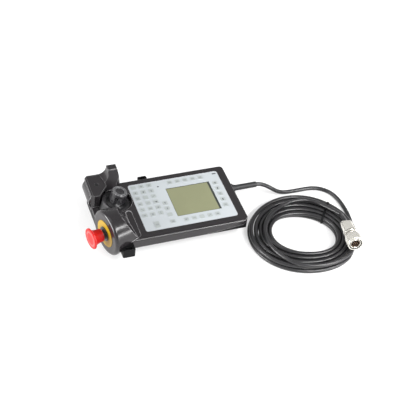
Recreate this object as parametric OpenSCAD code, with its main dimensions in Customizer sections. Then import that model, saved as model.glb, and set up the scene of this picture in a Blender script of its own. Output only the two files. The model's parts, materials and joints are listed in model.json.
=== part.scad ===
// Wired teach pendant: keypad and display deck, side emergency stop, three-axis
// joystick, enabling grip and a coiled lead with a round metal connector.
// Millimetres, +Z up, the pendant lies on its back on z = 0.

/* [Keypad and display] */
// Width of the keypad sheet
keypad_w = 186; // [176:1:196]
// Depth of the keypad sheet
keypad_d = 128; // [120:1:134]
// Corner radius of the keypad sheet
keypad_corner = 5; // [2:1:8]
// Thickness of the keypad sheet
keypad_t = 1.2; // [0.8:0.1:1.6]
// Height of a raised key pad above the sheet
key_rise = 0.6; // [0.3:0.1:1]
// Side of a square key pad
key_size = 11; // [9:0.5:13]
// Distance from key to key along X
key_pitch_x = 16; // [14:0.5:17]
// Distance from key to key along Y
key_pitch_y = 15.6; // [14:0.2:17]
// Width of the display opening
display_w = 91; // [80:1:96]
// Depth of the display opening
display_d = 78; // [66:1:84]
// Display centre, to the right of the keypad centre
display_x = 23; // [20:1:26]

/* [Body] */
// Height of the deck above the surface that it lies on
deck_h = 50; // [48:1:56]
// Height of the lower edge of the upright walls
belt_h = 30; // [26:1:34]
// Rise of the parting line at the cable end
parting_rise = 10; // [4:1:12]
// Border between keypad and right end
border_right = 18; // [14:1:24]
// Border between keypad and front wall
border_front = 17; // [13:1:24]
// Border between keypad and rear wall
border_rear = 14; // [12:1:20]
// Radius of the upright corners
corner_r = 14; // [8:1:18]
// Radius of the top edges
edge_r = 4; // [2:0.5:6]
// Wall thickness of the shells
wall = 3; // [2.4:0.2:3.6]
// How far the underside draws in at the front
tuck_front = 25; // [15:1:30]
// How far the underside draws in at the other sides
tuck_side = 6; // [3:1:10]

/* [Joystick] */
// Distance from the keypad's left edge to the joystick centre
joy_offset = 32.5; // [32:0.5:36]
// Joystick centre, behind the keypad centre
joy_y = 30; // [30:0.5:33]
// Lean of the joystick axis towards the keypad, in degrees
joy_cant = 14; // [8:1:16]
// Radius of the joystick bezel
bezel_r = 28; // [26:0.5:28.5]
// Tilt of the joystick each way, in degrees
joy_tilt = 10; // [6:1:10]
// Radius of the joystick shaft
shaft_r = 3.5; // [2.8:0.1:3.6]
// Radius of the knob
knob_r = 16; // [13:0.5:17]
// Height of the knob's top above the bezel
knob_top = 26; // [24:0.5:30]

/* [Emergency stop] */
// Radius of the barrel
barrel_r = 45; // [42:0.5:46]
// Length of the barrel
barrel_l = 56; // [54:1:57]
// Turn of the barrel towards the user, in degrees
barrel_yaw = 13; // [8:1:15]
// Barrel face centre, in front of the keypad centre
barrel_y = 49; // [48:1:54]
// Radius of the yellow label disc
label_r = 27; // [22:0.5:32]
// Radius of the mounting hole of the stop button
stop_hole_r = 11; // [10:0.5:12]
// Radius of the mushroom's rim
mushroom_r = 20.5; // [18:0.5:22]
// Travel of the stop button
stop_travel = 4; // [3:0.5:4]

/* [Grip] */
// Height of the grip block's top
grip_h = 62; // [59:1:66]
// Height of the grip block's underside
grip_floor = 22; // [18:1:24]
// How far the grip block stands out behind the rear wall
grip_overhang = 20; // [16:1:26]
// Height of the finger guard
guard_h = 85; // [78:1:92]
// Bulge of the enabling lever out of the grip block
lever_bulge = 4.5; // [3:0.5:6]
// Swing of the enabling lever, in degrees
lever_swing = 9; // [5:1:9]

/* [Cable] */
// Diameter of the cable
cable_d = 8.4; // [7:0.2:9]
// Diameter of the bend sleeve
sleeve_d = 11.6; // [10:0.2:13]
// Length of the bend sleeve
sleeve_l = 51; // [40:1:51]
// Outer radius of the coil
coil_r = 107; // [104:1:110]
// Width of the coil's bundle
coil_band = 46; // [40:1:48]
// Height of the coil's bundle
coil_h = 26.5; // [24:0.5:27]

/* [Connector] */
// Radius of the coupling ring
ring_r = 15.5; // [14.5:0.5:15.5]
// Length of the connector
connector_l = 55; // [52:1:58]

/* [Hidden] */
$fn = 72;
eps = 0.01;
fit = 0.05;       // radial play of a turning or sliding pair
gap = 0.3;        // clearance between pieces that move past each other
seam = 0.1;       // clearance between neighbouring mouldings

// deck outline, measured from the keypad centre
x_right = keypad_w / 2 + border_right;
y_front = -keypad_d / 2 - border_front;
y_rear = keypad_d / 2 + border_rear;
x_cheek = -keypad_w / 2 - 57;
x_left = -keypad_w / 2 - 79;
deck_t = 3.2;
ledge = 5;        // width of the ledge that carries the keypad sheet
screw_r = 1.5;    // shank of the case screws

// display stack
deck_under = deck_h - deck_t;
sheet_under = deck_h - keypad_t;
lens_t = keypad_t - 0.2;
frame_w = display_w + 6;
frame_d = display_d + 6;
dome_h = sheet_under - deck_under - 1.6;
board_t = 1.6;
lcd_t = 7;
lcd_lap = 5;
main_z = 24;
key_x0 = -keypad_w / 2 + 9.4;
key_y0 = keypad_d / 2 - 8.6;
wide_rows = keypad_d * [0.008, -0.109, -0.242, -0.39];
board_posts = [for (x = [-keypad_w / 2 + 13, keypad_w / 2 - 11],
    y = [keypad_d / 2 - 14, -keypad_d / 2 + 18]) [x, y]];
dome_r = 3.2;

// joystick frame: origin in the bezel's upper plane
joy_x = -keypad_w / 2 - joy_offset;
joy_z = deck_h - 2;
pocket_r = bezel_r + 3;
bay_floor = deck_h - 16;
cup_r = bezel_r - 1.5;
cup_wall = 3.5;
cup_depth = 36;
pivot_z = -14;
pivot_pin_r = 2;
gimbal_r = 17;
gimbal_inner = 12.5;
gimbal_h = 8;
hub_r = 8;
knob_under = knob_top - 6;
wing_foot = 6;

// barrel frame: origin in the middle of its end face, z pointing out
barrel_x = x_left + 2;
rim_r = 6;
barrel_tail_r = barrel_r - 8;
flank_x = -keypad_w / 2 - 23;   // foot of the barrel's sloping flank on the deck
flank_yaw = 7;
flank_slope = 58.5;
face_t = 4;
label_t = 0.8;
bush_l = 14;
plunger_r = 5;
collar_r = 14.5;
neck_r = 9.5;
neck_top = 12;
head_back = 7.5;
head_front = 31;
head_edge = 1.5;
head_socket = neck_top + stop_travel + 0.5;
collar_top = head_back - stop_travel - 0.5;

// grip outline
grip_x1 = -keypad_w / 2 - 48;
grip_y0 = joy_y + 8;
grip_y1 = y_rear + grip_overhang;
guard_x1 = -keypad_w / 2 - 12;
guard_x0 = grip_x1 + 12.5;
sweep_x = grip_x1 - 6;
sweep_r = guard_x0 - sweep_x;
guard_foot = joy_y + pocket_r + 1;
bevel_run = 15;   // cut corner of the grip block, along X
bevel_slope = 1.2;
cover_inset = 1.4;
cover_right = grip_x1 + 3.6;
cover_edge = grip_x1 + 5;
cover_bend = grip_y0 + cover_inset + bevel_slope * (cover_right - grip_x1 + bevel_run + 0.6);
grip_wall = 4;
cover_t = 2;
cover_z = grip_h - cover_t;
cavity_floor = grip_floor + 4;
lever_y0 = grip_y0 + grip_wall + 2;
lever_y1 = grip_y1 - grip_wall - 2;
lever_z0 = grip_floor + 6;
lever_z1 = cover_z - 4;
lever_pin_r = 1.5;
lever_pin_x = x_left + 7.5;
lever_pin_z = lever_z0 + 2;
cover_post = [x_left + 18, grip_y1 - 28];

// cable exit and connector frame
gland_y = 23;
gland_z = 35;
gland_thread_r = 6.5;
gland_flange = 5;
boss_r = 10.5;
cable_r = cable_d / 2;
coil_pos = [104, -128, 0];
conn_pos = [187, -156, coil_h + ring_r - 2];
conn_pitch = 86;
conn_yaw = -7.8;
shell_r = 12;
barrel_end = 36;
plug_r = 13;

// centre of the pendant's own box, without its cable
reach = (head_front - head_edge) * cos(barrel_yaw)
    + (mushroom_r - head_edge) * sin(barrel_yaw) + head_edge;
x_mid = (x_right + gland_flange + barrel_x - reach) / 2;
clip_front_y = y_front - 17;
rear_clip_x = -keypad_w / 2 + 36;
y_mid = (grip_y1 + clip_front_y) / 2;

// free stretch of the cable, from the gland to the coil, measured from the
// foot of the wall below the cable exit
lead_points = [
    [-9, 0, gland_z], [12, 0, gland_z], [34, 0, gland_z],
    [gland_flange + sleeve_l, 0, gland_z], [64, -0.5, 34], [72, -2, 31.5],
    [80, -4, 27.5], [88, -5.5, 22], [96, -6.5, 16], [104, -7.5, 10.5],
    [113, -8, 6.5], [124, -8.5, 4.6], [139, -9, 4.5], [157, -9, 4.5],
    [175, -9, 4.5], [190, -12, 4.5], [203, -19, 4.5], [213, -29, 4.5],
    [220, -43, 4.5], [223.5, -61, 4.5], [224.5, -81, 4.5], [223.5, -101, 4.5],
    [220, -122, 4.5], [215, -141, 4.5], [208, -156, 4.5], [198, -170, 4.5]
];
// end stretch of the cable, from the top of the coil to the connector
tail_points = [
    [195, -99, coil_h - 2.5], [195.5, -107, coil_h - 1], [195, -115, coil_h + 1.5],
    [193.5, -123, coil_h + 5], [191.5, -131, coil_h + 8.5],
    [189.8, -139, coil_h + 11.3], [188.4, -146, coil_h + 12.8],
    [187.4, -152.5, conn_pos.z - 0.3]
];

// ---------------------------------------------------------------- helpers

// moves the model so that the middle of the pendant's underside is the origin
module place() {
    translate([-x_mid, -y_mid, 0]) children();
}

module joy_frame() {
    translate([joy_x, joy_y, joy_z]) rotate([0, joy_cant, 0]) children();
}

module barrel_frame() {
    translate([barrel_x, -barrel_y, deck_h]) rotate([0, -90, barrel_yaw]) children();
}

module conn_frame() {
    cable_frame() translate(conn_pos) rotate([conn_pitch, 0, conn_yaw]) children();
}

module cable_frame() {
    translate([x_right, gland_y, 0]) children();
}

module gland_frame() {
    cable_frame() translate([0, 0, gland_z]) rotate([0, 90, 0]) children();
}

// rectangle from [x0, y0] to [x1, y1] with round corners
module round_rect(x0, y0, x1, y1, r) {
    translate([x0 + r, y0]) square([x1 - x0 - 2 * r, y1 - y0]);
    translate([x0, y0 + r]) square([x1 - x0, y1 - y0 - 2 * r]);
    for (x = [x0 + r, x1 - r], y = [y0 + r, y1 - r]) translate([x, y]) circle(r);
}

// block with round upright corners and round top edges
module soft_block(x0, y0, z0, x1, y1, z1, rv, rt) {
    intersection() {
        translate([0, 0, z0]) linear_extrude(z1 - z0) round_rect(x0, y0, x1, y1, rv);
        translate([0, y1, 0]) rotate([90, 0, 0]) linear_extrude(y1 - y0)
            round_rect(x0, z0 - 2 * rt, x1, z1, rt);
        translate([x0, 0, 0]) rotate([90, 0, 90]) linear_extrude(x1 - x0)
            round_rect(y0, z0 - 2 * rt, y1, z1, rt);
    }
}

module box(x0, y0, z0, x1, y1, z1) {
    translate([x0, y0, z0]) cube([x1 - x0, y1 - y0, z1 - z0]);
}

module ring(r_out, r_in, h) {
    difference() {
        cylinder(r = r_out, h = h);
        translate([0, 0, -1]) cylinder(r = r_in, h = h + 2);
    }
}

// places children at each case screw
case_screws = [
    [x_right - 15.5, y_front + 33], [x_right - 15.5, y_rear - 14],
    [-keypad_w / 2 - 8, y_front + 33], [-keypad_w / 2 - 8, y_rear - 14]
];
module at_case_screws() {
    for (p = case_screws) translate(p) children();
}

// tube through a list of points, square to its path at every point
function unit(v) = v / norm(v);
function heading(p, i) = unit(p[min(i + 1, len(p) - 1)] - p[max(i - 1, 0)]);
function tube_ring(p, i, r, n) =
    let (t = heading(p, i), a = unit(cross([0, 0, 1], t)), b = cross(t, a))
    [for (k = [0:n - 1]) p[i] + r * (cos(360 * k / n) * a + sin(360 * k / n) * b)];
module tube(p, r, n = 10) {
    rings = len(p);
    sides = [for (i = [0:rings - 2], k = [0:n - 1])
        [i * n + k, i * n + (k + 1) % n, (i + 1) * n + (k + 1) % n, (i + 1) * n + k]];
    first = [[for (k = [0:n - 1]) n - 1 - k]];
    last = [[for (k = [0:n - 1]) (rings - 1) * n + k]];
    polyhedron([for (i = [0:rings - 1]) each tube_ring(p, i, r, n)],
        [for (f = concat(sides, first, last)) [for (k = [len(f) - 1:-1:0]) f[k]]]);
}

// ---------------------------------------------------------------- case

x_rise = 20;      // where the parting line starts to climb
wing_y0 = 0;      // front end of the low wing beside the joystick
bay_y0 = joy_y - 24;
meet_z = 26;      // where the screw columns of the two shells meet
grip_bolts_xy = [[grip_x1 - 7, grip_y0 + 18], [grip_x1 - 7, y_rear - 11]];
guard_bolt_xy = [guard_x1 - 13, y_rear - wall - 4.2];

// everything below the parting line
module below_parting() {
    slope = parting_rise / (x_right - x_rise);
    translate([0, 300, 0]) rotate([90, 0, 0]) linear_extrude(600)
        polygon([[-300, -20], [x_right + 60, -20],
            [x_right + 60, belt_h + parting_rise + slope * 60],
            [x_rise, belt_h], [-300, belt_h]]);
}

module upper_outer() {
    soft_block(x_cheek, y_front, 0, x_right, y_rear, deck_h, corner_r, edge_r);
    soft_block(x_left, wing_y0, 0, x_cheek + 30, grip_y0 + 6, bay_floor, 6, 2);
}

module upper_inner() {
    soft_block(x_cheek + wall, y_front + wall, -10, x_right - wall, y_rear - wall,
        deck_under, corner_r - wall, 1);
    box(x_left + wall, wing_y0 + wall, -10, x_cheek + 30, grip_y0, bay_floor - wall);
}

module lower_outer() {
    intersection() {
        linear_extrude(deck_h) {
            round_rect(x_cheek, y_front, x_right, y_rear, corner_r);
            round_rect(x_left, wing_y0, x_cheek + 40, y_rear, 6);
        }
        translate([0, 200, 0]) rotate([90, 0, 0]) linear_extrude(400)
            polygon([[x_left + 5, 0], [x_right - tuck_side - 2, 0],
                [x_right - tuck_side, 2], [x_right, belt_h], [x_right, deck_h],
                [x_left, deck_h], [x_left, 14], [x_left + 3, 2]]);
        translate([-300, 0, 0]) rotate([90, 0, 90]) linear_extrude(500)
            polygon([[y_front + tuck_front + 2, 0], [y_rear - tuck_side - 2, 0],
                [y_rear - tuck_side, 2], [y_rear, belt_h], [y_rear, deck_h],
                [y_front, deck_h], [y_front, belt_h],
                [y_front + tuck_front, 2]]);
    }
}

module lower_inner() {
    intersection() {
        translate([0, 0, wall]) linear_extrude(deck_h) {
            round_rect(x_cheek + wall, y_front + wall, x_right - wall, y_rear - wall,
                corner_r - wall);
            round_rect(x_left + wall, wing_y0 + wall, x_cheek + 40, y_rear - wall, 4);
        }
        translate([0, 200, 0]) rotate([90, 0, 0]) linear_extrude(400)
            polygon([[x_left + 3 + wall, 2], [x_right - tuck_side - wall, 2],
                [x_right - wall, belt_h], [x_right - wall, deck_h + 1],
                [x_left + wall, deck_h + 1], [x_left + wall, 14]]);
        translate([-300, 0, 0]) rotate([90, 0, 90]) linear_extrude(500)
            polygon([[y_front + tuck_front + wall + 1, 2],
                [y_rear - tuck_side - wall, 2], [y_rear - wall, belt_h],
                [y_rear - wall, deck_h + 1], [y_front + wall, deck_h + 1],
                [y_front + wall, belt_h + 1.6]]);
    }
}

// seat of the grip block, cut out of both shells
module grip_notch() {
    box(x_left - 1, grip_y0, grip_floor, grip_x1, y_rear + 1, deck_h + 1);
}

module notch_walls() {
    box(x_left, grip_y0 - wall, grip_floor - wall, grip_x1 + wall, y_rear, deck_h);
}

// recess round the joystick, open towards the left
module joystick_bay() {
    translate([joy_x, joy_y, bay_floor]) cylinder(r = pocket_r, h = deck_h);
    box(x_left - 1, bay_y0, bay_floor, joy_x, grip_y0 + eps, deck_h + 10);
}

module bay_walls() {
    translate([joy_x, joy_y, bay_floor - wall])
        cylinder(r = pocket_r + wall, h = deck_h - bay_floor + wall);
    box(x_left, bay_y0 - wall, bay_floor - wall, joy_x, grip_y0, deck_h);
}

module cup_space(extra) {
    joy_frame() translate([0, 0, -cup_depth - extra])
        cylinder(r = cup_r + extra, h = cup_depth + 20);
}

// half section of the barrel, drawn in by t at the sides and by t_face in front
module barrel_half(t, t_face) {
    r = barrel_r - t;
    rr = max(rim_r - t, 1.5);
    polygon([[0, 0.5 - t_face - rr], [r - 1, 0.5 - t_face - rr], [r, -t_face - rr],
        [barrel_tail_r - t, t - barrel_l], [0, t - barrel_l]]);
    translate([0, -t_face - rr]) square([r - rr, rr]);
    translate([r - rr, -t_face - rr]) intersection() {
        circle(rr);
        square(2 * rr);
    }
}

// room to the left of the flank in which the barrel falls to the deck
module flank_space(t) {
    rise = barrel_r + 10;
    sink = wall + 1;
    translate([flank_x, -barrel_y, 0]) rotate([90, 0, flank_yaw])
        translate([-t / sin(flank_slope), 0, -2 * barrel_r])
        linear_extrude(4 * barrel_r) polygon([[-3 * barrel_r, -barrel_r],
            [sink / tan(flank_slope), -barrel_r],
            [sink / tan(flank_slope), deck_h - sink],
            [-rise / tan(flank_slope), deck_h + rise],
            [-3 * barrel_r, deck_h + rise]]);
}

// stop button's housing: a tapering barrel that ends in a sloping flank
module barrel_solid(t = 0, t_face = 0) {
    intersection() {
        barrel_frame() rotate_extrude($fn = 128) intersection() {
            barrel_half(t, t_face);
            translate([0, -2 * barrel_l]) square([2 * barrel_r, 4 * barrel_l]);
        }
        flank_space(t);
    }
}

module top_shell() {
    color([0.24, 0.23, 0.24]) difference() {
        union() {
            difference() {
                union() {
                    difference() {
                        upper_outer();
                        upper_inner();
                    }
                    intersection() {
                        upper_outer();
                        union() {
                            bay_walls();
                            notch_walls();
                            at_case_screws() translate([0, 0, meet_z])
                                cylinder(r = 4.2, h = deck_under + 1 - meet_z);
                        }
                    }
                }
                difference() {
                    below_parting();
                    at_case_screws() translate([0, 0, meet_z])
                        cylinder(r = 4.2, h = deck_under + 1 - meet_z);
                }
                joystick_bay();
                grip_notch();
                translate([0, 0, deck_h - 0.8]) side_groove();
            }
            barrel_solid();
        }
        barrel_solid(3.5, face_t);
        // way from the barrel into the case, below the deck
        intersection() {
            barrel_frame() translate([0, 0, -barrel_l - 8])
                cylinder(r = 27, h = 14);
            box(-300, -200, 0, 0, 0, deck_under);
        }
        barrel_frame() translate([0, 0, -10]) cylinder(r = stop_hole_r, h = 20);
        cup_space(0.5);
        // recess of the keypad sheet and the opening below it
        translate([0, 0, sheet_under]) linear_extrude(5)
            round_rect(-keypad_w / 2 - seam, -keypad_d / 2 - seam,
                keypad_w / 2 + seam, keypad_d / 2 + seam, keypad_corner + seam);
        box(-keypad_w / 2 + ledge, -keypad_d / 2 + ledge, 0,
            keypad_w / 2 - ledge, keypad_d / 2 - ledge, deck_h);
        at_case_screws() cylinder(r = screw_r + fit, h = meet_z + 14);
        gland_frame() translate([0, 0, -20])
            cylinder(r = boss_r + seam, h = 40);
        translate([guard_bolt_xy.x, guard_bolt_xy.y, 0])
            cylinder(r = screw_r + fit, h = 80);
    }
}

// shallow round-ended groove beside the keypad
module side_groove() {
    x0 = flank_x - 1.5;
    linear_extrude(5) round_rect(x0, y_front + 8, x0 + 12, bay_y0 - 8, 5.9);
}

module bottom_shell() {
    color([0.11, 0.11, 0.12]) difference() {
        union() {
            difference() {
                intersection() {
                    lower_outer();
                    below_parting();
                }
                lower_inner();
            }
            intersection() {
                lower_outer();
                union() {
                    intersection() {
                        notch_walls();
                        below_parting();
                    }
                    at_case_screws() cylinder(r = 4.8, h = meet_z);
                    for (p = board_posts) translate(p) cylinder(r = 3.5, h = main_z);
                    difference() {
                        joy_frame() translate([0, 0, -cup_depth - 40])
                            cylinder(r = 15, h = 40);
                        translate([-300, -200, deck_h - 12]) cube([300, 400, 90]);
                    }
                }
            }
            intersection() {
                gland_frame() translate([0, 0, -wall - 1])
                    cylinder(r = boss_r, h = wall + 1);
                box(0, -200, 0, 300, 200, deck_under - 0.2);
            }
        }
        grip_notch();
        joystick_bay();
        cup_space(0);
        barrel_solid(-seam, -seam);
        at_case_screws() {
            translate([0, 0, -1]) cylinder(r = screw_r + fit, h = meet_z + 10);
            translate([0, 0, -1]) cylinder(r = 3.3, h = 9);
        }
        for (p = board_posts) translate([p.x, p.y, wall + 1])
            cylinder(r = screw_r + fit, h = main_z);
        gland_frame() translate([0, 0, -20])
            cylinder(r = gland_thread_r + fit, h = 40);
        for (p = grip_bolts_xy) translate([p.x, p.y, 0]) {
            translate([0, 0, wall + 2]) cylinder(r = screw_r + fit, h = 40);
        }
    }
}

module shell_screws() {
    color([0.6, 0.6, 0.62]) at_case_screws() {
        translate([0, 0, 8 - 2.4]) difference() {
            cylinder(r = 2.8, h = 2.4);
            translate([0, 0, -1]) cylinder(r = 1.25, h = 2.4, $fn = 6);
        }
        translate([0, 0, 8 - eps]) cylinder(r = screw_r, h = meet_z + 4);
    }
}

// ---------------------------------------------------------------- keypad

// places children at every ordinary key
module at_keys() {
    for (i = [0:2], j = [0:5])
        translate([key_x0 + i * key_pitch_x, key_y0 - j * key_pitch_y]) children();
    for (y = wide_rows) translate([key_x0 + 3 * key_pitch_x, y]) children();
    for (i = [-2:2], y = [keypad_d / 2 - 10.5, -keypad_d / 2 + 13])
        translate([display_x + i * key_pitch_x, y]) children();
    for (j = [-2:2]) translate([keypad_w / 2 - 14, j * key_pitch_y]) children();
}

module tall_key_place() {
    translate([key_x0 + key_pitch_x, -keypad_d / 2 + 13]) children();
}

module display_area(extra) {
    translate([display_x - display_w / 2 - extra, -display_d / 2 - extra])
        square([display_w + 2 * extra, display_d + 2 * extra]);
}

module keypad_sheet() {
    color([0.87, 0.89, 0.9]) {
        translate([0, 0, sheet_under]) linear_extrude(keypad_t) difference() {
            round_rect(-keypad_w / 2, -keypad_d / 2, keypad_w / 2, keypad_d / 2,
                keypad_corner);
            display_area(0);
        }
        translate([0, 0, deck_h - eps]) linear_extrude(key_rise + eps) {
            at_keys() round_rect(-key_size / 2, -key_size / 2,
                key_size / 2, key_size / 2, 2);
            tall_key_place() round_rect(-key_size / 2, -9, key_size / 2, 9, 2);
        }
    }
}

module snap_domes() {
    color([0.8, 0.8, 0.82]) translate([0, 0, sheet_under - dome_h]) {
        at_keys() cylinder(r1 = dome_r, r2 = dome_r - 1, h = dome_h);
        tall_key_place() cylinder(r1 = dome_r, r2 = dome_r - 1, h = dome_h);
    }
}

module keypad_board() {
    color([0.1, 0.35, 0.2]) translate([0, 0, deck_under]) linear_extrude(board_t)
        difference() {
            round_rect(-keypad_w / 2 + ledge + gap, -keypad_d / 2 + ledge + gap,
                keypad_w / 2 - ledge - gap, keypad_d / 2 - ledge - gap, 2);
            display_area(3 + gap);
        }
}

module display_window() {
    color([0.75, 0.8, 0.72, 0.6]) translate([0, 0, sheet_under])
        linear_extrude(lens_t) display_area(-seam);
}

module display_frame() {
    color([0.1, 0.1, 0.1]) translate([0, 0, deck_under])
        linear_extrude(sheet_under - deck_under) difference() {
            display_area(3);
            display_area(-1);
        }
}

module lcd_module() {
    color([0.62, 0.64, 0.5]) {
        difference() {
            translate([0, 0, deck_under - lcd_t]) linear_extrude(lcd_t)
                display_area(lcd_lap);
            translate([0, 0, deck_under - 0.8]) linear_extrude(2) display_area(-2);
        }
    }
}

module main_board() {
    color([0.1, 0.35, 0.2]) {
        translate([0, 0, main_z]) linear_extrude(board_t) difference() {
            round_rect(-keypad_w / 2 + 4, -keypad_d / 2 + 9,
                keypad_w / 2 - 5, keypad_d / 2 - 3, 2);
            for (p = board_posts) translate(p) circle(screw_r + fit);
        }
        translate([0, 0, main_z + board_t - eps]) {
            translate([-20, -20, 0]) cube([24, 24, 1.6]);
            translate([30, 10, 0]) cube([14, 20, 1.6]);
            translate([-70, 10, 0]) cube([10, 32, 8]);
            translate([58, 14, 0]) cube([16, 18, 9]);
        }
    }
}

module board_standoffs() {
    color([0.8, 0.75, 0.5]) for (p = board_posts) translate([p.x, p.y, 0]) {
        translate([0, 0, main_z + board_t])
            cylinder(r = 2.6, h = deck_under - main_z - board_t);
        translate([0, 0, wall + 6]) cylinder(r = screw_r, h = main_z - wall);
    }
}

// ---------------------------------------------------------------- joystick

module joystick_cup() {
    color([0.13, 0.13, 0.14]) joy_frame() difference() {
        union() {
            translate([0, 0, -cup_depth]) ring(cup_r, cup_r - cup_wall, cup_depth - 2);
            translate([0, 0, -cup_depth]) cylinder(r = cup_r, h = 3);
            intersection() {
                translate([0, 0, -cup_depth]) cylinder(r = cup_r - 1, h = cup_depth);
                for (s = [-1, 1]) translate([s * (gimbal_r + 4.6), 0, pivot_z])
                    cube([8, 9, 9], center = true);
            }
        }
        translate([0, 0, pivot_z]) rotate([0, 90, 0])
            cylinder(r = pivot_pin_r + fit, h = 2 * cup_r - 4, center = true);
    }
}

module joystick_bezel() {
    color([0.2, 0.2, 0.21]) joy_frame() rotate_extrude() difference() {
        union() {
            translate([22.5, -2]) square([bezel_r - 22.5, 2.3]);
            translate([23.7, 0.3]) square([bezel_r - 24.9, 1.2]);
            translate([23.7, 0.3]) circle(1.2);
            translate([bezel_r - 1.2, 0.3]) circle(1.2);
        }
        translate([-50, -10]) square([60, 8]);
        translate([0, -12]) square([60, 10]);
    }
}

module joystick_boot() {
    color([0.09, 0.09, 0.09]) joy_frame() rotate_extrude() {
        polygon([[8.6, 1.6], [10, 2.6], [12, 0.4], [14.5, -1.4], [17, 0.2], [19.6, -1.6],
            [22.5, -0.6], [22.5, -2], [23, -2], [23, -3], [22, -3], [19.4, -2.8],
            [17, -1], [14.5, -2.6], [11.5, -0.8], [9.8, 1]]);
    }
}

module joystick_gimbal() {
    color([0.7, 0.7, 0.72]) joy_frame() translate([0, 0, pivot_z]) difference() {
        union() {
            translate([0, 0, -gimbal_h / 2]) ring(gimbal_r, gimbal_inner, gimbal_h);
            for (s = [-1, 1]) rotate([0, s * 90, 0]) translate([0, 0, gimbal_r - 1])
                cylinder(r = pivot_pin_r, h = 7);
        }
        rotate([90, 0, 0])
            cylinder(r = pivot_pin_r + fit, h = 2 * gimbal_r + 4, center = true);
    }
}

module joystick_stem() {
    color([0.75, 0.75, 0.77]) joy_frame() translate([0, 0, pivot_z]) {
        cylinder(r = hub_r, h = 8, center = true);
        rotate([90, 0, 0])
            cylinder(r = pivot_pin_r, h = 2 * gimbal_r - 1, center = true);
        cylinder(r = shaft_r, h = knob_top - pivot_z - 4);
        translate([0, 0, -14]) cylinder(r = shaft_r, h = 12);
    }
}

module joystick_knob() {
    color([0.17, 0.17, 0.18]) joy_frame() difference() {
        union() {
            rotate_extrude() {
                translate([0, knob_under]) square([knob_r - 1, knob_top - knob_under]);
                translate([0, knob_under + 1])
                    square([knob_r, knob_top - knob_under - 2]);
                translate([knob_r - 1, knob_under + 1]) circle(1);
                translate([knob_r - 1, knob_top - 1]) circle(1);
                translate([0, 8]) square([7, knob_under - 7.5]);
            }
            // three wings that reach down round the hub
            for (a = [67, 187, 307]) rotate([0, 0, a]) intersection() {
                translate([0, 0, wing_foot])
                    ring(knob_r - 0.5, knob_r - 5, knob_under - wing_foot + 2);
                translate([0, -9, wing_foot]) cube([30, 18, 40]);
            }
        }
        translate([0, 0, -1]) cylinder(r = shaft_r + fit, h = knob_top - 2.6);
        translate([0, 0, knob_top - 1.2]) cylinder(r = 9 + fit, h = 4);
        translate([0, 0, knob_top - 0.5]) ring(12.6, 11.4, 2);
    }
}

module joystick_cap() {
    color([0.22, 0.22, 0.23]) joy_frame() difference() {
        translate([0, 0, knob_top - 1.2]) cylinder(r = 9, h = 2);
        translate([0, 0, knob_top + 14]) sphere(r = 14);
    }
}

module centring_ring() {
    top = pivot_z - gimbal_h / 2 - 4.4;
    foot = 3 + board_t - cup_depth;
    color([0.12, 0.12, 0.12]) joy_frame() {
        translate([0, 0, foot]) ring(13, 11, top - foot);
        translate([0, 0, top - 4]) ring(11.5, shaft_r + 3.9, 4);
    }
}

module sensor_board() {
    color([0.1, 0.35, 0.2]) joy_frame() {
        translate([0, 0, -cup_depth + 3]) cylinder(r = cup_r - 6.5, h = board_t);
        translate([-2.5, -2.5, -cup_depth + 3 + board_t - eps]) cube([5, 5, 0.9]);
    }
}

// ---------------------------------------------------------------- emergency stop

module stop_label_disc() {
    color([0.95, 0.78, 0.15]) barrel_frame() ring(label_r, stop_hole_r + seam, label_t);
}

module stop_collar() {
    color([0.1, 0.1, 0.1]) barrel_frame() difference() {
        rotate_extrude() {
            translate([0, label_t]) square([collar_r - 0.8, collar_top - label_t]);
            translate([0, label_t]) square([collar_r, collar_top - label_t - 0.8]);
            translate([collar_r - 0.8, collar_top - 0.8]) circle(0.8);
            square([neck_r, neck_top]);
        }
        translate([0, 0, -1]) cylinder(r = plunger_r + fit, h = 40);
        translate([0, 0, -1]) cylinder(r = stop_hole_r + 1, h = 1 + label_t);
    }
}

module stop_bush() {
    color([0.15, 0.15, 0.16]) barrel_frame() translate([0, 0, -bush_l]) difference() {
        union() {
            cylinder(r = stop_hole_r - fit, h = bush_l + label_t);
            for (z = [1:1.5:bush_l - 6]) translate([0, 0, z - 0.5]) rotate_extrude()
                polygon([[5, 0], [stop_hole_r - fit, 0], [stop_hole_r + 0.4, 0.5],
                    [stop_hole_r - fit, 1], [5, 1]]);
        }
        translate([0, 0, -1]) cylinder(r = plunger_r + fit, h = 60);
    }
}

module stop_locknut() {
    color([0.6, 0.6, 0.62]) barrel_frame() translate([0, 0, -face_t - 5]) difference() {
        intersection() {
            cylinder(r = 17, h = 5, $fn = 6);
            cylinder(r = 16, h = 5);
        }
        translate([0, 0, -1]) cylinder(r = stop_hole_r + 0.45, h = 8);
    }
}

module stop_contact_block() {
    color([0.2, 0.2, 0.22]) barrel_frame() translate([0, 0, -bush_l]) difference() {
        translate([-15, -15, -24]) cube([30, 30, 24]);
        translate([0, 0, -9]) cylinder(r = 7.2, h = 10);
        translate([0, 0, -14]) cylinder(r = 5.6, h = 20);
        for (s = [-1, 1]) translate([s * 11, 0, -25]) cylinder(r = 2, h = 6);
    }
}

module stop_plunger() {
    color([0.85, 0.85, 0.85]) barrel_frame() {
        translate([0, 0, -bush_l - 4])
            cylinder(r = plunger_r, h = bush_l + head_front);
        translate([0, 0, -bush_l - 3.4]) cylinder(r = 6.6, h = 3);
    }
}

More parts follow.
